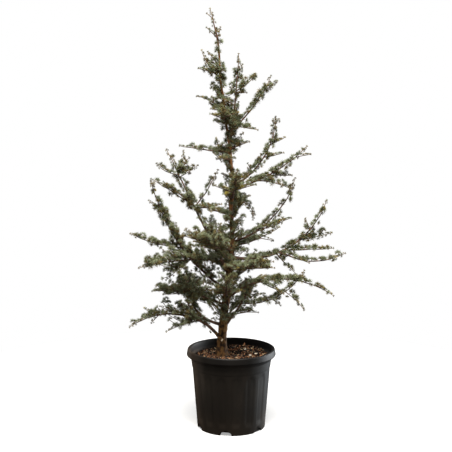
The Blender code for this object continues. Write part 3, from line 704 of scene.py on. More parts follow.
def relief(tree, height, strength, distance):
    bump = add_node(tree, "Bump", {"Height": height, "Strength": strength, "Distance": distance})
    return bump.outputs["Normal"]


def bark_material(name, scale, stops, roughness=0.85):
    """Mottled bark, with a grain six times as fine as its patches."""
    material, tree, shader = new_material(name, roughness)
    grain = noise_in(tree, scale * 6, detail=3.0)
    feed(tree, shader, {
        "Base Color": colour_ramp(tree, noise_in(tree, scale, detail=6.0), stops),
        "Roughness": roughness_over(tree, grain, roughness - 0.12, roughness + 0.08),
        "Normal": relief(tree, grain, strength=0.5, distance=0.0006),
    })
    return material


def trunk_material():
    """Bark that is dull brown and deeply mottled at the foot, and smoother and orange-brown higher up."""
    material, tree, shader = new_material("trunk_bark", 0.85)
    patches = colour_ramp(tree, noise_in(tree, scale=95.0, detail=4.0, stretch=(1, 1, 0.50)), TRUNK_PATCHES)
    age = colour_ramp(tree, place_along(tree, "Z", TRUNK_LINE[0].height, TRUNK_LINE[-1].height), TRUNK_AGE)
    grain = noise_in(tree, scale=200.0, detail=3.0, stretch=(1, 1, 0.30))
    feed(tree, shader, {
        "Base Color": multiplied(tree, patches, age),
        "Specular IOR Level": 0.25,
        "Roughness": roughness_over(tree, grain, 0.73, 0.93),
        "Normal": relief(tree, grain, strength=0.5, distance=0.0006),
    })
    return material


def needle_material(name, colour, spread):
    """A waxy needle colour that differs a little from needle to needle, darker or paler by spread."""
    material, tree, shader = new_material(name, 0.55)
    mottle = noise_in(tree, scale=45.0, detail=2.0)
    darker = tuple(c * (1 - spread) for c in colour)
    paler = tuple(c * (1 + spread) for c in colour)
    feed(tree, shader, {
        "Base Color": colour_ramp(tree, mottle, ((0.35, darker), (0.65, paler))),
        "Roughness": roughness_over(tree, mottle, 0.48, 0.62),
        "Specular IOR Level": 0.20,
    })
    return material


def pot_material():
    """Black moulded plastic, dusty low down, with painted light on its sides, dust on its left, painted shade
    on its rim.
    """
    material, tree, shader = new_material("pot_plastic", 0.55)
    # Painted light on the pot's left and right, with dust on its left, and painted shade on its rim.
    across = colour_ramp(tree, place_along(tree, "X", -RIM_RADIUS, RIM_RADIUS), POT_DUST_AND_PAINTED_LIGHT_ACROSS)
    up = colour_ramp(tree, place_along(tree, "Z", 0.0, POT_HEIGHT), POT_DUST_AND_PAINTED_SHADE_UP)
    dust = noise_in(tree, scale=9.0, detail=7.0, stretch=(1, 1, 0.35))
    specks = colour_ramp(tree, dust, POT_SPECKS)
    grain = noise_in(tree, scale=220.0, detail=4.0)
    feed(tree, shader, {
        "Base Color": multiplied(tree, multiplied(tree, across, up), specks),
        "Specular IOR Level": 0.22,
        "Roughness": roughness_over(tree, dust, 0.42, 0.62),
        "Normal": relief(tree, grain, strength=0.25, distance=0.0003),
    })
    return material


def mulch_material(name, dark, pale):
    material, tree, shader = new_material(name, 0.9)
    mottle = noise_in(tree, scale=70.0, detail=5.0)
    grain = noise_in(tree, scale=600.0, detail=3.0)
    feed(tree, shader, {
        "Base Color": colour_ramp(tree, mottle, ((0.32, dark), (0.68, pale))),
        "Roughness": roughness_over(tree, grain, 0.80, 0.98),
        "Normal": relief(tree, grain, strength=0.6, distance=0.0008),
    })
    return material


# ---------------------------------------------------------------- pot
def wall_radius(z):
    """The pot's outer wall between its base and its collar."""
    return BASE_RADIUS + (WALL_TOP_RADIUS - BASE_RADIUS) * z / WALL_TOP


def rounded(corners, steps=4):
    """A profile through (radius, height, rounding) corners, each rounded corner as a short arc."""
    profile = []
    for k, (r, z, rounding) in enumerate(corners):
        if not rounding or k in (0, len(corners) - 1):
            profile.append((r, z))
            continue
        here = Vector((r, z))
        before = Vector(corners[k - 1][:2]) - here
        after = Vector(corners[k + 1][:2]) - here
        start = here + before.normalized() * min(rounding, before.length * 0.45)
        end = here + after.normalized() * min(rounding, after.length * 0.45)
        for i in range(steps + 1):
            t = i / steps
            profile.append(tuple(start * (1 - t) ** 2 + here * 2 * t * (1 - t) + end * t * t))
    return profile


def pot_profile():
    """(radius, height) round the pot's section, from under its middle, up its outside and down its inside."""
    skirt = BASE_RADIUS - FOOT_THICKNESS
    lip_foot = POT_HEIGHT - LIP_HEIGHT
    inner_floor = GROOVE_ROOF + WALL
    corners = [
        (FLOOR_DISC_RADIUS, 0.0, 0.001),
        (FLOOR_DISC_RADIUS + WALL, GROOVE_ROOF, 0.002),
        (skirt, GROOVE_ROOF, 0.002),
        (skirt, 0.0, 0.0008),
        (BASE_RADIUS, 0.0, 0.0012),
    ]
    corners += [(wall_radius(z), z, 0) for z in np.linspace(0.006, WALL_TOP - 0.002, WALL_RINGS)]
    corners += [
        (WALL_TOP_RADIUS, WALL_TOP, 0.0008),
        (COLLAR_FOOT_RADIUS, COLLAR_FOOT, 0.0020),
        (COLLAR_RADIUS, lip_foot - LIP_CHAMFER, 0.0030),
        (RIM_RADIUS - 0.0010, lip_foot - 0.0010, 0.0018),
        (RIM_RADIUS, lip_foot + 0.0020, 0.0010),
        (RIM_TOP_RADIUS, POT_HEIGHT - RIM_ROUND, 0.0020),
        (RIM_TOP_RADIUS - RIM_ROUND, POT_HEIGHT, 0.0025),
        (RIM_TOP_RADIUS - RIM_THICKNESS, POT_HEIGHT - RIM_ROUND * 0.5, 0.0020),
        (INNER_THROAT, POT_HEIGHT - 0.0090, 0.0030),
        (INNER_SOIL, COLLAR_FOOT + 0.030, 0),
        (wall_radius(WALL_TOP) - 2 * WALL, COLLAR_INSIDE, 0),
        (wall_radius(inner_floor) - 2 * WALL, inner_floor, 0.002),
        (FLOOR_DISC_RADIUS - WALL, inner_floor, 0.002),
        (FLOOR_DISC_RADIUS - 2 * WALL, FLOOR, 0.001),
    ]
    return rounded(corners)


def flute_depth(angle, z):
    """How far the wall is pressed in: long shallow flutes with round tops and feet."""
    turn = ((angle - FLUTE_TURN) / (2 * pi) * FLUTES) % 1.0
    across = abs(turn - 0.5) * 2 / FLUTE_SHARE
    half_width = pi * BASE_RADIUS / FLUTES * FLUTE_SHARE
    end = min(z - FLUTE_FOOT, FLUTE_TOP - z) / half_width
    if across >= 1 or end <= 0:
        return 0.0
    round_end = sqrt(1 - min(1.0, 1 - end) ** 2) if end < 1 else 1.0
    inside = 1 - across / max(round_end, 1e-6)
    return FLUTE_DEPTH * smooth_step(inside, 0.0, FLUTE_SLOPE)


def make_pot():
    profile = pot_profile()
    vertices = []
    for r, z in profile:
        on_wall = FLUTE_FOOT < z < FLUTE_TOP and abs(r - wall_radius(z)) < 0.0005
        for angle in turns(POT_SIDES):
            here = r - (flute_depth(angle, z) if on_wall else 0.0)
            vertices.append((here * cos(angle), here * sin(angle), z))
    pot = Bunch()
    pot.add(vertices, *ring_faces(len(profile), POT_SIDES))
    cut_notches(pot.piece("pot_body", pot_material(), "pot", ("pot",), smooth=True))


def cut_notches(pot):
    """Cuts the drain notches into the foot of the wall."""
    cutters = Bunch()
    for n, depth in enumerate(NOTCH_DEPTHS):
        turn = Matrix.Rotation(NOTCH_TURN + 2 * pi * n / len(NOTCH_DEPTHS), 3, "Z")
        corners = []
        for up, share in NOTCH_OUTLINE:
            for x, y in ((-1, -1), (1, -1), (1, 1), (-1, 1)):
                spot = Vector((BASE_RADIUS + x * depth, y * NOTCH_WIDTH / 2 * share, up * NOTCH_HEIGHT))
                corners.append(tuple(turn @ spot))
        cutters.add(corners, *ring_faces(len(NOTCH_OUTLINE), 4))
    cutter = linked("notch_cutters", cutters.mesh("notch_cutters"))
    cut = pot.modifiers.new("notches", "BOOLEAN")
    cut.operation = "DIFFERENCE"
    cut.solver = "EXACT"
    cut.object = cutter
    graph = bpy.context.evaluated_depsgraph_get()
    done = bpy.data.meshes.new_from_object(pot.evaluated_get(graph))
    pot.modifiers.clear()
    pot.data = done
    bpy.data.objects.remove(cutter)


# ---------------------------------------------------------------- bark mulch
def soil_height(x, y):
    """The uneven surface of the mulch: level where the trunk stands, and heaped up behind it to the right."""
    foot = TRUNK_LINE[0]
    away = sqrt((x - foot.x) ** 2 + (y - foot.y) ** 2)
    blend = min(max((away - TRUNK_SEAT) / TRUNK_SEAT, 0.0), 1.0)
    rough = noise.noise(Vector((x, y, 0.3)) * HEAVES_PER_METRE)
    heap = HEAP * exp(-((x - HEAP_AT[0]) ** 2 + (y - HEAP_AT[1]) ** 2) / HEAP_WIDE ** 2)
    return SOIL_TOP - GAP + (SOIL_HEAVE * rough + heap) * blend


def make_mulch_bed(material):
    """The bed that the chips lie in, a closed shell down to the pot's floor."""
    shelf = GROOVE_ROOF + WALL + GAP
    below = (
        (FLOOR_DISC_RADIUS - 3 * WALL, FLOOR + GAP),
        (FLOOR_DISC_RADIUS - 2 * WALL, shelf),
        (wall_radius(GROOVE_ROOF) - 2.5 * WALL, shelf),
        (BED_RADIUS - 3 * WALL, COLLAR_INSIDE),
    )
    vertices = [(r * cos(a), r * sin(a), z) for r, z in below for a in turns(MULCH_SIDES)]
    for ring in range(MULCH_RINGS, 0, -1):
        for a in turns(MULCH_SIDES):
            x, y = BED_RADIUS * ring / MULCH_RINGS * cos(a), BED_RADIUS * ring / MULCH_RINGS * sin(a)
            crumbs = noise.fractal(Vector((x, y, 1.7)) * CRUMBS_PER_METRE, 0.6, 2.2, 4)
            vertices.append((x, y, soil_height(x, y) - BED_SUNK + CRUMB_DEPTH * crumbs))
    bed = Bunch()
    bed.add(vertices, *ring_faces(len(below) + MULCH_RINGS, MULCH_SIDES))
    bed.piece("mulch_bed", material, "soil", ("soil",), smooth=True)


def mulch_spot(rng):
    """A place on the mulch, clear of the trunk."""
    foot = TRUNK_LINE[0]
    while True:
        r, a = (INNER_SOIL - 0.006) * sqrt(rng.random()), rng.uniform(0, 2 * pi)
        x, y = r * cos(a), r * sin(a)
        if (x - foot.x) ** 2 + (y - foot.y) ** 2 > CHIP_CLEARANCE ** 2:
            return x, y


def lying(rng):
    """How a chip lies in the mulch, as a turn of its own axes."""
    tilt = Matrix.Rotation(rng.uniform(0, 2 * pi), 3, "Z")
    return tilt @ Matrix.Rotation(rng.gauss(0, 0.45), 3, "Y") @ Matrix.Rotation(rng.gauss(0, 0.6), 3, "X")


def add_chip(bunch, rng, spot, tilt, length, width, thick):
    """One torn flake of bark: an uneven outline with a little thickness, bent along its length."""
    corners = rng.randint(6, 8)
    bend = rng.uniform(-0.18, 0.25) / length
    outline = []
    for k in range(corners):
        a = 2 * pi * (k + rng.uniform(-0.25, 0.25)) / corners
        u = cos(a) * length / 2 * rng.uniform(0.8, 1.1)
        v = sin(a) * width / 2 * rng.uniform(0.7, 1.15)
        outline.append((u, v))
    vertices = []
    for side in (-1, 1):
        for u, v in outline:
            vertices.append(tuple(spot + tilt @ Vector((u, v, side * thick / 2 + bend * u * u))))
    if all(x * x + y * y <= (INNER_SOIL - 0.0005) ** 2 for x, y, _ in vertices):
        bunch.add(vertices, *ring_faces(2, corners))


def add_fibre(bunch, start, heading, length, rising, curl, radius):
    """A curled strand of bark or straw, lying in the mulch or standing up out of it."""
    points = [Vector(start)]
    for k in range(FIBRE_STEPS):
        share = (k + 0.5) / FIBRE_STEPS
        aim = direction(heading + curl * share, rising * (1 - share * 1.3))
        points.append(points[-1] + aim * length / FIBRE_STEPS)
    if all(p.x * p.x + p.y * p.y <= (INNER_SOIL - 0.001) ** 2 for p in points):
        radii = [radius * (1 - 0.6 * k / FIBRE_STEPS) for k in range(FIBRE_STEPS + 1)]
        add_tube(bunch, points, radii, 4)


def make_mulch():
    rng = Random(SEED)
    bunches = {kind.name: Bunch() for kind in CHIP_KINDS}
    for kind in CHIP_KINDS:
        for _ in range(kind.count):
            x, y = mulch_spot(rng)
            spot = Vector((x, y, soil_height(x, y) + rng.uniform(*CHIP_LIFT)))
            length = rng.uniform(*kind.lengths)
            width = length * rng.uniform(*CHIP_WIDTH_SHARE)
            add_chip(bunches[kind.name], rng, spot, lying(rng), length, width, rng.uniform(*kind.thicknesses))
    leaning = Matrix.Rotation(FLAKE_LEAN, 3, "X")
    for x, y, length, width in PALE_FLAKES:
        spot = Vector((x, y, soil_height(x, y) + FLAKE_LIFT))
        add_chip(bunches["mulch_pale"], rng, spot, leaning, length, width, FLAKE_THICKNESS)
    for k in range(FIBRES):
        x, y = mulch_spot(rng)
        start = (x, y, soil_height(x, y) - 0.001)
        length = rng.uniform(*FIBRE_LENGTH)
        rising, curl = rng.uniform(*FIBRE_RISE), rng.uniform(*FIBRE_CURL)
        bunch = bunches["mulch_red" if k % 4 else "mulch_tan"]
        add_fibre(bunch, start, rng.uniform(0, 360), length, rising, curl, FIBRE_RADIUS)
    for _ in range(STRAWS):
        x, y = rng.uniform(*STRAW_X), rng.uniform(*STRAW_Y)
        start = (x, y, soil_height(x, y) - 0.002)
        length, rising = rng.uniform(*STRAW_LENGTH), rng.uniform(*STRAW_RISE)
        add_fibre(bunches["mulch_tan"], start, rng.uniform(0, 360), length, rising, STRAW_CURL, STRAW_RADIUS)
    for kind in CHIP_KINDS:
        material = mulch_material(kind.name, kind.dark, kind.pale)
        if kind.name == "mulch_dark":
            make_mulch_bed(material)
        bunches[kind.name].piece(kind.name, material, "soil", ("soil",))


# ---------------------------------------------------------------- trunk
def bark_relief(height, angle, radius):
    """Fissures and plates of the old bark near the foot, which fade to fine ripples higher up."""
    def grain(across, up):
        return noise.noise(Vector((cos(angle) * radius * across, sin(angle) * radius * across, height * up)))

    age = 1 - smooth_step(height, *OLD_BARK)
    plates = min(1.0, PLATE_GAIN * abs(grain(*PLATE_GRAIN)))
    old = PLATE_DEPTH * plates + FLAKE_DEPTH * grain(*FLAKE_GRAIN) - BARK_SUNK
    return old * age + RIPPLE_DEPTH * grain(*RIPPLE_GRAIN)


def collar_swell(height, angle, radius, collars):
    """The swelling of the trunk round the root of each limb, given as (height, heading, radius)."""
    swell = 0.0
    for limb_height, heading, thick in collars:
        up = (height - limb_height) / (thick * COLLAR_TALL)
        if abs(up) > 2.5:
            continue
        turn = (angle - heading + pi) % (2 * pi) - pi
        side = turn * radius / (thick * COLLAR_WIDE)
        swell += thick * COLLAR_SWELL * exp(-(up * up + side * side))
    return swell


def make_trunk():
    foot, top = TRUNK_LINE[0].height, TRUNK_LINE[-1].height
    count = round((top - foot) / TRUNK_RING_STEP)
    collars = [(plan.height, radians(plan.heading), root_radius(plan)) for plan in LIMBS]
    vertices = []
    for k in range(count + 1):
        z = foot - 0.001 + (top + 0.001 - foot) * k / count
        centre, radius = trunk_at(z)
        radius *= 1 + FOOT_GAIN * (1 - smooth_step(z, *FOOT_HEIGHTS))
        flare = FLARE * max(0.0, 1 - (z - foot) / FLARE_HEIGHT) ** 2
        for a in turns(TRUNK_SIDES):
            r = radius + flare * (1 + FLARE_LOBE_DEPTH * cos(FLARE_LOBES * a))
            r += bark_relief(z, a, radius) + collar_swell(z, a, radius, collars)
            vertices.append((centre.x + r * cos(a), centre.y + r * sin(a), z))
    trunk = Bunch()
    trunk.add(vertices, *ring_faces(count + 1, TRUNK_SIDES))
    trunk.piece("trunk_bark", trunk_material(), "bark", ("trunk",), smooth=True)


def make_stub():
    """The pruned end of the lowest limb, which passes over the trunk's front to a pale cut."""
    centre, _ = trunk_at(STUB_HEIGHT)
    points = [centre + Vector(offset) for offset in STUB_LINE]
    bark, wood = Bunch(), Bunch()
    add_tube(bark, points, STUB_RADII, STUB_SIDES)
    past = (points[-1] - points[-2]).normalized() * STUB_CUT_DEPTH
    add_tube(wood, (points[-1] - past, points[-1] + past), (STUB_CUT_RADIUS, STUB_CUT_RADIUS), STUB_SIDES)
    bark.piece("stub_bark", trunk_material(), "bark", ("trunk",), smooth=True)
    wood.piece("stub_cut", bark_material("cut_wood", 60.0, CUT_WOOD), "bark", ("trunk",))


# ---------------------------------------------------------------- limbs and twigs
Shoot = namedtuple("Shoot", "points root length bare kind")
OLD, YOUNG, TWIG = "old", "young", "twig"


def density_at(point):
    """How much more a limb branches at a point than where the crown is open."""
    low = smooth_step(point.z, *DENSE_FOOT) * (1 - smooth_step(point.z, *DENSE_TOP))
    left = 1 - smooth_step(point.x, *DENSE_RIGHT)
    near = smooth_step(point.x, *DENSE_LEFT)
    lowest = LOWEST_GAIN * left * (1 - smooth_step(point.z, *LOWEST))
    return 1 + (DENSE - 1) * low * left * near + lowest


def bareness_at(point):
    """How bare the wood is close to the trunk under the crown: 0 to 1."""
    centre, _ = trunk_at(point.z)
    away = hypot(point.x - centre.x, point.y - centre.y)
    return (1 - smooth_step(away, *BARE_REACH)) * (1 - smooth_step(point.z, *BARE_TOP))


def fullness_at(point):
    """Where foliage gathers in clumps and where it leaves the wood bare: -1 to 1."""
    clumps = noise.noise(point * CLUMPS_PER_METRE) * CLUMP_GAIN - 0.6 * bareness_at(point)
    return min(max(clumps, -1.0), 1.0)


def limb_shoots():
    """Every limb and fork of the plan as a Shoot, each limb before its forks."""
    shoots = []

    def add_forks(parent_points, parent_root, forks, kind):
        for f in forks:
            points = walk(along(parent_points, f.share), f.heading, f.pitch, f.bend, f.length)
            root = min(root_radius(f), FORK_SHARE_OF_PARENT * radius_at(parent_root, f.share))
            shoots.append(Shoot(points, root, f.length, FORK_BARE, kind))
            add_forks(points, root, f.forks, kind)

    for plan in LIMBS:
        centre, trunk_radius = trunk_at(plan.height)
        points = walk(centre, plan.heading, plan.pitch, plan.bend, plan.length)
        root = root_radius(plan) * (STOUT_GAIN if plan.height < STOUT_BELOW else 1.0)
        bare = max(plan.bare * BARE_SHARE, trunk_radius + TRUNK_BARE)
        if plan.height > TRUNK_LINE[-1].height:
            bare = TWIG_BARE
        kind = YOUNG if plan.name in YOUNG_LIMBS else OLD
        shoots.append(Shoot(points, root, plan.length, bare, kind))
        add_forks(points, root, plan.forks, kind)
    return shoots


def side_twigs(shoot, rng):
    """Short twigs off a limb's sides and top, by turns to its left and right, as Shoots."""
    twigs = []
    spot = shoot.bare + rng.uniform(0.2, 0.7) * TWIG_SPACING
    side_now = rng.choice((-1, 1))
    while spot < shoot.length - TIP_LENGTH * 0.6:
        share = spot / shoot.length
        ahead = tangent(shoot.points, share)
        above, side = upper_frame(ahead)
        turn = radians(rng.uniform(*TWIG_TURN)) * side_now
        lean = rng.uniform(*TWIG_LEAN)
        aim = (above * cos(turn) + side * sin(turn) + ahead * lean).normalized()
        start = along(shoot.points, share)
        dense = density_at(start)
        length = rng.uniform(*TWIG_LENGTH) * (1 - 0.5 * share) * dense * (1 + 0.5 * fullness_at(start))
        points = rise(start, aim, length, TWIG_LIFT, ahead * TWIG_FOLLOW)
        root = min(TWIG_ROOT, radius_at(shoot.root, share) * FORK_SHARE_OF_PARENT)
        if rng.random() > 0.3 * bareness_at(start):
            twigs.append(Shoot(points, root, length, TWIG_BARE, TWIG))
        side_now = -side_now
        spot += TWIG_SPACING / dense * rng.uniform(0.6, 1.5)
    return twigs


def trunk_twigs(rng):
    """Fine twigs straight off the trunk, all round it, as Shoots."""
    twigs = []
    height = TRUNK_TWIGS[0][0]
    while height < TRUNK_TWIG_TOP:
        spacing, longest = next(row[1:] for row in reversed(TRUNK_TWIGS) if height >= row[0])
        centre, radius = trunk_at(height)
        length = radius + longest * rng.uniform(0.45, 1.0)
        aim = direction(rng.uniform(0, 360), rng.uniform(5, 50))
        points = rise(centre, aim, length, TRUNK_TWIG_LIFT, Vector())
        twigs.append(Shoot(points, TWIG_ROOT, length, radius + 0.003, TWIG))
        height += spacing * rng.uniform(0.6, 1.4)
    return twigs


def add_wood(bunch, shoot, start, end, sides, step):
    """Adds a stretch of a shoot's wood, a little knotty and swollen where it leaves its parent."""
    count = max(2, ceil((end - start) / step))
    points, rough = [], []
    for k in range(count + 1):
        here = start + (end - start) * k / count
        share = here / shoot.length
        point = along(shoot.points, share)
        swell = 1 + 0.35 * exp(-here / (shoot.root * 3.0))
        knots = 1 + 0.10 * noise.noise(point * 140.0) + 0.08 * noise.noise(point * 420.0)
        radius = radius_at(shoot.root, min(max(share, 0.0), 1.0)) * swell * knots
        points.append(point)
        rough.append([radius * (1 + 0.06 * noise.noise(point * 300 + Vector((i * 3.1, 0, 0))))
                      for i in range(sides)])
    add_tube(bunch, points, rough, sides)


def make_wood(shoots, twigs, spurs, boughs, masses):
    """The limbs' old wood, their young tips, and the fine twigs with their spurs."""
    limbs, tips, fine = Bunch(), Bunch(), Bunch()
    for shoot in shoots:
        tip = min(TIP_LENGTH, shoot.length * TIP_SHARE)
        sides = 10 if shoot.root > 0.0032 else 8
        add_wood(limbs, shoot, 0.0, shoot.length - tip, sides, LIMB_RING_STEP)
        add_wood(tips, shoot, shoot.length - tip - 0.001, shoot.length, 6, LIMB_RING_STEP)
    for twig in twigs:
        add_wood(fine, twig, 0.0, twig.length, 4, TWIG_RING_STEP)
    for root, head, radius in spurs:
        add_tube(fine, (root, head), (radius, radius * 0.8), 3)
    old = bark_material("limb_bark", 55.0, LIMB_BARK)
    young = bark_material("young_bark", 70.0, YOUNG_BARK, roughness=0.75)
    small = bark_material("twig_bark", 80.0, TWIG_BARK)
    limbs.piece("limbs_bark", old, "bark", (*boughs, *masses), smooth=True)
    tips.piece("shoot_tips", young, "bark", masses, smooth=True)
    fine.piece("twigs_and_spurs", small, "bark", masses, smooth=True)


# ---------------------------------------------------------------- rosettes of needles
Rosette = namedtuple("Rosette", "place axis scale tip")


def needle(rng, tilt, turn, length):
    """One needle from the middle of its rosette: two faces that meet in a ridge along its back."""
    out = Vector((cos(turn), sin(turn), 0))
    ahead = out * sin(tilt) + Vector((0, 0, cos(tilt)))
    spin = rng.uniform(0, 2 * pi)
    flat = Vector((-sin(turn), cos(turn), 0))
    side = flat * cos(spin) + ahead.cross(flat) * sin(spin)
    under = ahead.cross(side)
    root = ahead * NEEDLE_ROOT
    tip = ahead * length + Vector((0, 0, length * rng.uniform(*NEEDLE_UPTURN)))
    waist = ahead * length * NEEDLE_WAIST + under * NEEDLE_HALF_WIDTH * 0.9
    left, right = waist - side * NEEDLE_HALF_WIDTH, waist + side * NEEDLE_HALF_WIDTH
    return [tuple(p) for p in (root, left, right, tip)]


def rosette_template(rng):
    """The needles of one rosette that opens round +Z, as an array of needles, corners and coordinates."""
    count = rng.randint(*NEEDLE_COUNTS)
    needles = []
    for k in range(count):
        tilt = radians(5 + 80 * sqrt((k + 0.5) / count) + rng.uniform(-8, 8))
        turn = k * GOLDEN_TURN + rng.uniform(-0.35, 0.35)
        needles.append(needle(rng, tilt, turn, NEEDLE_LENGTH * rng.uniform(0.78, 1.15)))
    return np.array(needles)


def is_bright(rosette):
    """Whether a rosette belongs to one of the bright sprays."""
    place = rosette.place
    return place.y < 0.01 and any(hypot(place.x - x, place.z - z) < BRIGHT_REACH for x, z in BRIGHT_SPRAYS)


def add_needles(bunch, needles):
    faces = NEEDLE_FACES + 4 * np.arange(len(needles))[:, None, None]
    bunch.add(needles, faces.reshape(-1, 3))


def cluster(shoot, spot, rng, scale, tip, count):
    """A few rosettes on short spurs round one place on a shoot, and the spurs themselves."""
    rosettes, spurs = [], []
    steep = abs(tangent(shoot.points, spot / shoot.length).z)
    for base_turn in ROSETTE_TURNS[count]:
        here = min(max(spot + rng.uniform(-1, 1) * CLUSTER_SPREAD, 0.0), shoot.length) / shoot.length
        ahead = tangent(shoot.points, here)
        above, side = upper_frame(ahead)
        if rng.random() < steep ** 2 * UNDERSIDE_SHARE:
            above = -above
        turn = radians(base_turn + rng.gauss(0, ROSETTE_TURN_JITTER))
        out = above * cos(turn) + side * sin(turn)
        axis = (out + ahead * rng.uniform(*ROSETTE_LEAN)).normalized()
        root = along(shoot.points, here)
        head = root + axis * (radius_at(shoot.root, here) + rng.uniform(*SPUR_LENGTH) * scale)
        spurs.append((root, head, SPUR_RADIUS * scale))
        rosettes.append(Rosette(head, axis, scale * rng.uniform(*ROSETTE_SIZE), tip))
    return rosettes, spurs


def shoot_rosettes(shoot, rng):
    """Clusters of rosettes along a shoot, small and close on its last young stretch, and one at its tip."""
    rosettes, spurs = [], []
    usual, size, end_size = LIMB_ROSETTES, 1.0, LIMB_END_SIZE
    young = min(YOUNG_LENGTH, shoot.length * YOUNG_SHARE)
    if shoot.kind == TWIG:
        usual, size, end_size, young = TWIG_ROSETTES, TWIG_ROSETTE_SIZE, TWIG_END_SIZE, 0.0
    if shoot.kind == YOUNG:
        young = shoot.length * YOUNG_REACH
    spot = shoot.bare + rng.uniform(0.2, 0.6) * CLUSTER_SPACING
    while spot < shoot.length - TIP_CLEAR:
        from_tip = shoot.length - spot
        if from_tip > young:
            fullness = fullness_at(along(shoot.points, spot / shoot.length))
            count = round(usual * (1 + 0.9 * fullness) + rng.uniform(-0.9, 0.9))
            count = min(max(count, 0), max(ROSETTE_TURNS))
            new, pegs = cluster(shoot, spot, rng, size * (1 + 0.22 * fullness), False, count)
            spot += CLUSTER_SPACING * size * rng.uniform(0.72, 1.3)
        else:
            scale = YOUNG_SIZE + YOUNG_SIZE_GAIN * from_tip / young
            new, pegs = cluster(shoot, spot, rng, scale, True, rng.choice((1, 2, 2)))
            spot += CLUSTER_SPACING * rng.uniform(0.34, 0.56)
        rosettes += new
        spurs += pegs
    ahead = tangent(shoot.points, 1.0)
    rosettes.append(Rosette(shoot.points[-1] - ahead * 0.001, ahead, end_size, shoot.kind != TWIG))
    return rosettes, spurs


def trunk_rosettes(rng):
    """Clusters that sit on the trunk itself, dense on its upper half."""
    rosettes, spurs = [], []
    height = TRUNK_FOLIAGE[0][0]
    while height < TRUNK_LINE[-1].height - TIP_CLEAR:
        spacing = next(s for low, s in reversed(TRUNK_FOLIAGE) if height >= low)
        centre, radius = trunk_at(height)
        for _ in range(rng.choice((2, 3, 3))):
            axis = direction(rng.uniform(0, 360), rng.uniform(5, 55))
            head = centre + axis * (radius + rng.uniform(0.002, 0.014))
            spurs.append((centre, head, 0.0011))
            rosettes.append(Rosette(head, axis, rng.uniform(0.85, 1.12), False))
        height += spacing * rng.uniform(0.6, 1.4)
    return rosettes, spurs


def make_needles(rosettes, masses):
    """The rosettes as joined meshes, dealt out to the greens by spray."""
    rng = Random(SEED + 7)
    templates = [rosette_template(rng) for _ in range(TEMPLATES)]
    bunches = {green: Bunch() for green in (*GREENS, SHADED)}
    for rosette in rosettes:
        green = rng.choices(GREENS, [g.at_tips if rosette.tip else g.on_old_wood for g in GREENS])[0]
        if is_bright(rosette):
            green = GREENS[-1]
        spin = Matrix.Rotation(rng.uniform(0, 2 * pi), 3, "Z")
        turn = rosette.axis.to_track_quat("Z", "Y").to_matrix() @ spin
        needles = rng.choice(templates) @ np.array(turn).T * rosette.scale + np.array(rosette.place)
        # Needles that point down more steeply than SHADED_LIFT go to SHADED, a painted shade.
        ahead = needles[:, 3] - needles[:, 0]
        low = ahead[:, 2] < SHADED_LIFT * np.linalg.norm(ahead, axis=1)
        add_needles(bunches[green], needles[~low])
        add_needles(bunches[SHADED], needles[low])
    for green, bunch in bunches.items():
        material = needle_material(green.name, green.colour, green.spread)
        bunch.piece(green.name, material, "needles", masses)


def make_tree(nodes):
    rng = Random(SEED + 1)
    boughs = sorted(n for n in nodes if n.startswith("bough_"))
    masses = sorted(n for n in nodes if n.startswith("foliage_"))
    shoots = limb_shoots()
    grown = [shoot for shoot in shoots if shoot.length > SHORTEST_BRANCHED and shoot.kind != YOUNG]
    twigs = [twig for shoot in grown for twig in side_twigs(shoot, rng)]
    twigs += trunk_twigs(rng)
    rosettes, spurs = trunk_rosettes(rng)
    for shoot in shoots + twigs:
        new, pegs = shoot_rosettes(shoot, rng)
        rosettes += new
        spurs += pegs
    make_trunk()
    make_stub()
    make_wood(shoots, twigs, spurs, boughs, masses)
    make_needles(rosettes, masses)


# ---------------------------------------------------------------- studio
def make_camera():
    camera = bpy.data.cameras.new("camera")
    camera.sensor_width = SENSOR
    camera.lens = SENSOR * FOCAL_PIXELS / PHOTO_SIDE
    depth = CAMERA_BACK * cos(CAMERA_DOWN) + (CAMERA_HEIGHT - POT_HEIGHT) * sin(CAMERA_DOWN)
    aside = -(POT_COLUMN - PHOTO_SIDE / 2) * depth / FOCAL_PIXELS
    holder = linked("camera", camera)
    holder.location = (aside, -CAMERA_BACK, CAMERA_HEIGHT)
    holder.rotation_euler = (pi / 2 - CAMERA_DOWN, 0, 0)
    bpy.context.scene.camera = holder


def add_light(name, place, aim, size, power, colour):
    light = bpy.data.lights.new(name, "AREA")
    light.shape = "DISK"
    light.size = size
    light.energy = power
    light.color = colour
    holder = linked(name, light)
    holder.location = place
    holder.rotation_euler = (Vector(aim) - Vector(place)).to_track_quat("-Z", "Y").to_euler()
    holder.visible_camera = False


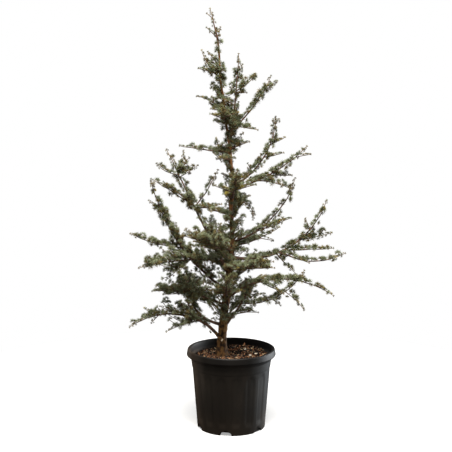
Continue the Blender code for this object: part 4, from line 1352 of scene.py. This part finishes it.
def make_sky():
    """A sky that is white to look at, and soft and dim as a light."""
    world = bpy.data.worlds.new("studio")
    world.use_nodes = True
    tree = world.node_tree
    light = tree.nodes["Background"]
    feed(tree, light, {"Color": SKY_COLOUR, "Strength": SKY_LIGHT})
    seen = add_node(tree, "Background", {"Color": WHITE, "Strength": SKY_SEEN})
    path = add_node(tree, "LightPath", {})
    lit, shown = light.outputs["Background"], seen.outputs["Background"]
    mix = add_node(tree, "MixShader", {"Fac": path.outputs["Is Camera Ray"], 1: lit, 2: shown})
    feed(tree, tree.nodes["World Output"], {"Surface": mix.outputs["Shader"]})
    bpy.context.scene.world = world
    world.cycles_visibility.glossy = False


def make_floor():
    disc = Bunch()
    corners = [(FLOOR_RADIUS * cos(a), FLOOR_RADIUS * sin(a), 0) for a in turns(FLOOR_SIDES)]
    disc.add(corners, [range(FLOOR_SIDES)])
    floor = linked("floor", disc.mesh("floor"))
    material, tree, shader = new_material("floor", 0.9)
    feed(tree, shader, {
        "Base Color": colour_ramp(tree, noise_in(tree, scale=3.0, detail=4.0), FLOOR_SHADES),
        "Specular IOR Level": 0.0,
        "Emission Color": WHITE,
        "Emission Strength": FLOOR_GLOW,
    })
    floor.data.materials.append(material)
    floor.visible_diffuse = False
    floor.visible_glossy = False


def make_studio():
    bpy.context.scene.view_settings.view_transform = "Standard"
    make_sky()
    make_floor()
    add_light("overhead", (-0.25, -1.9, 5.6), (0.0, 0.0, 0.4), size=3.6, power=1000, colour=(1.0, 0.97, 0.92))
    add_light("window", (2.4, 0.95, 0.55), (0.0, 0.0, 0.2), size=1.9, power=110, colour=(0.92, 0.96, 1.0))


# ---------------------------------------------------------------- the whole scene
noise.seed_set(SEED)
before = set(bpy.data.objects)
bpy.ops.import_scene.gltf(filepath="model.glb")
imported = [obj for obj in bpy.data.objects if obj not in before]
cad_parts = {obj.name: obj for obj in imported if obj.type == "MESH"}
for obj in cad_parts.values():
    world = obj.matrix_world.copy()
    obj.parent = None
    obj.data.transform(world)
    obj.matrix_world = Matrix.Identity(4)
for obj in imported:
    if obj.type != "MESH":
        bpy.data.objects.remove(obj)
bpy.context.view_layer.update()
make_camera()
make_studio()
make_pot()
make_mulch()
make_tree(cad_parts)
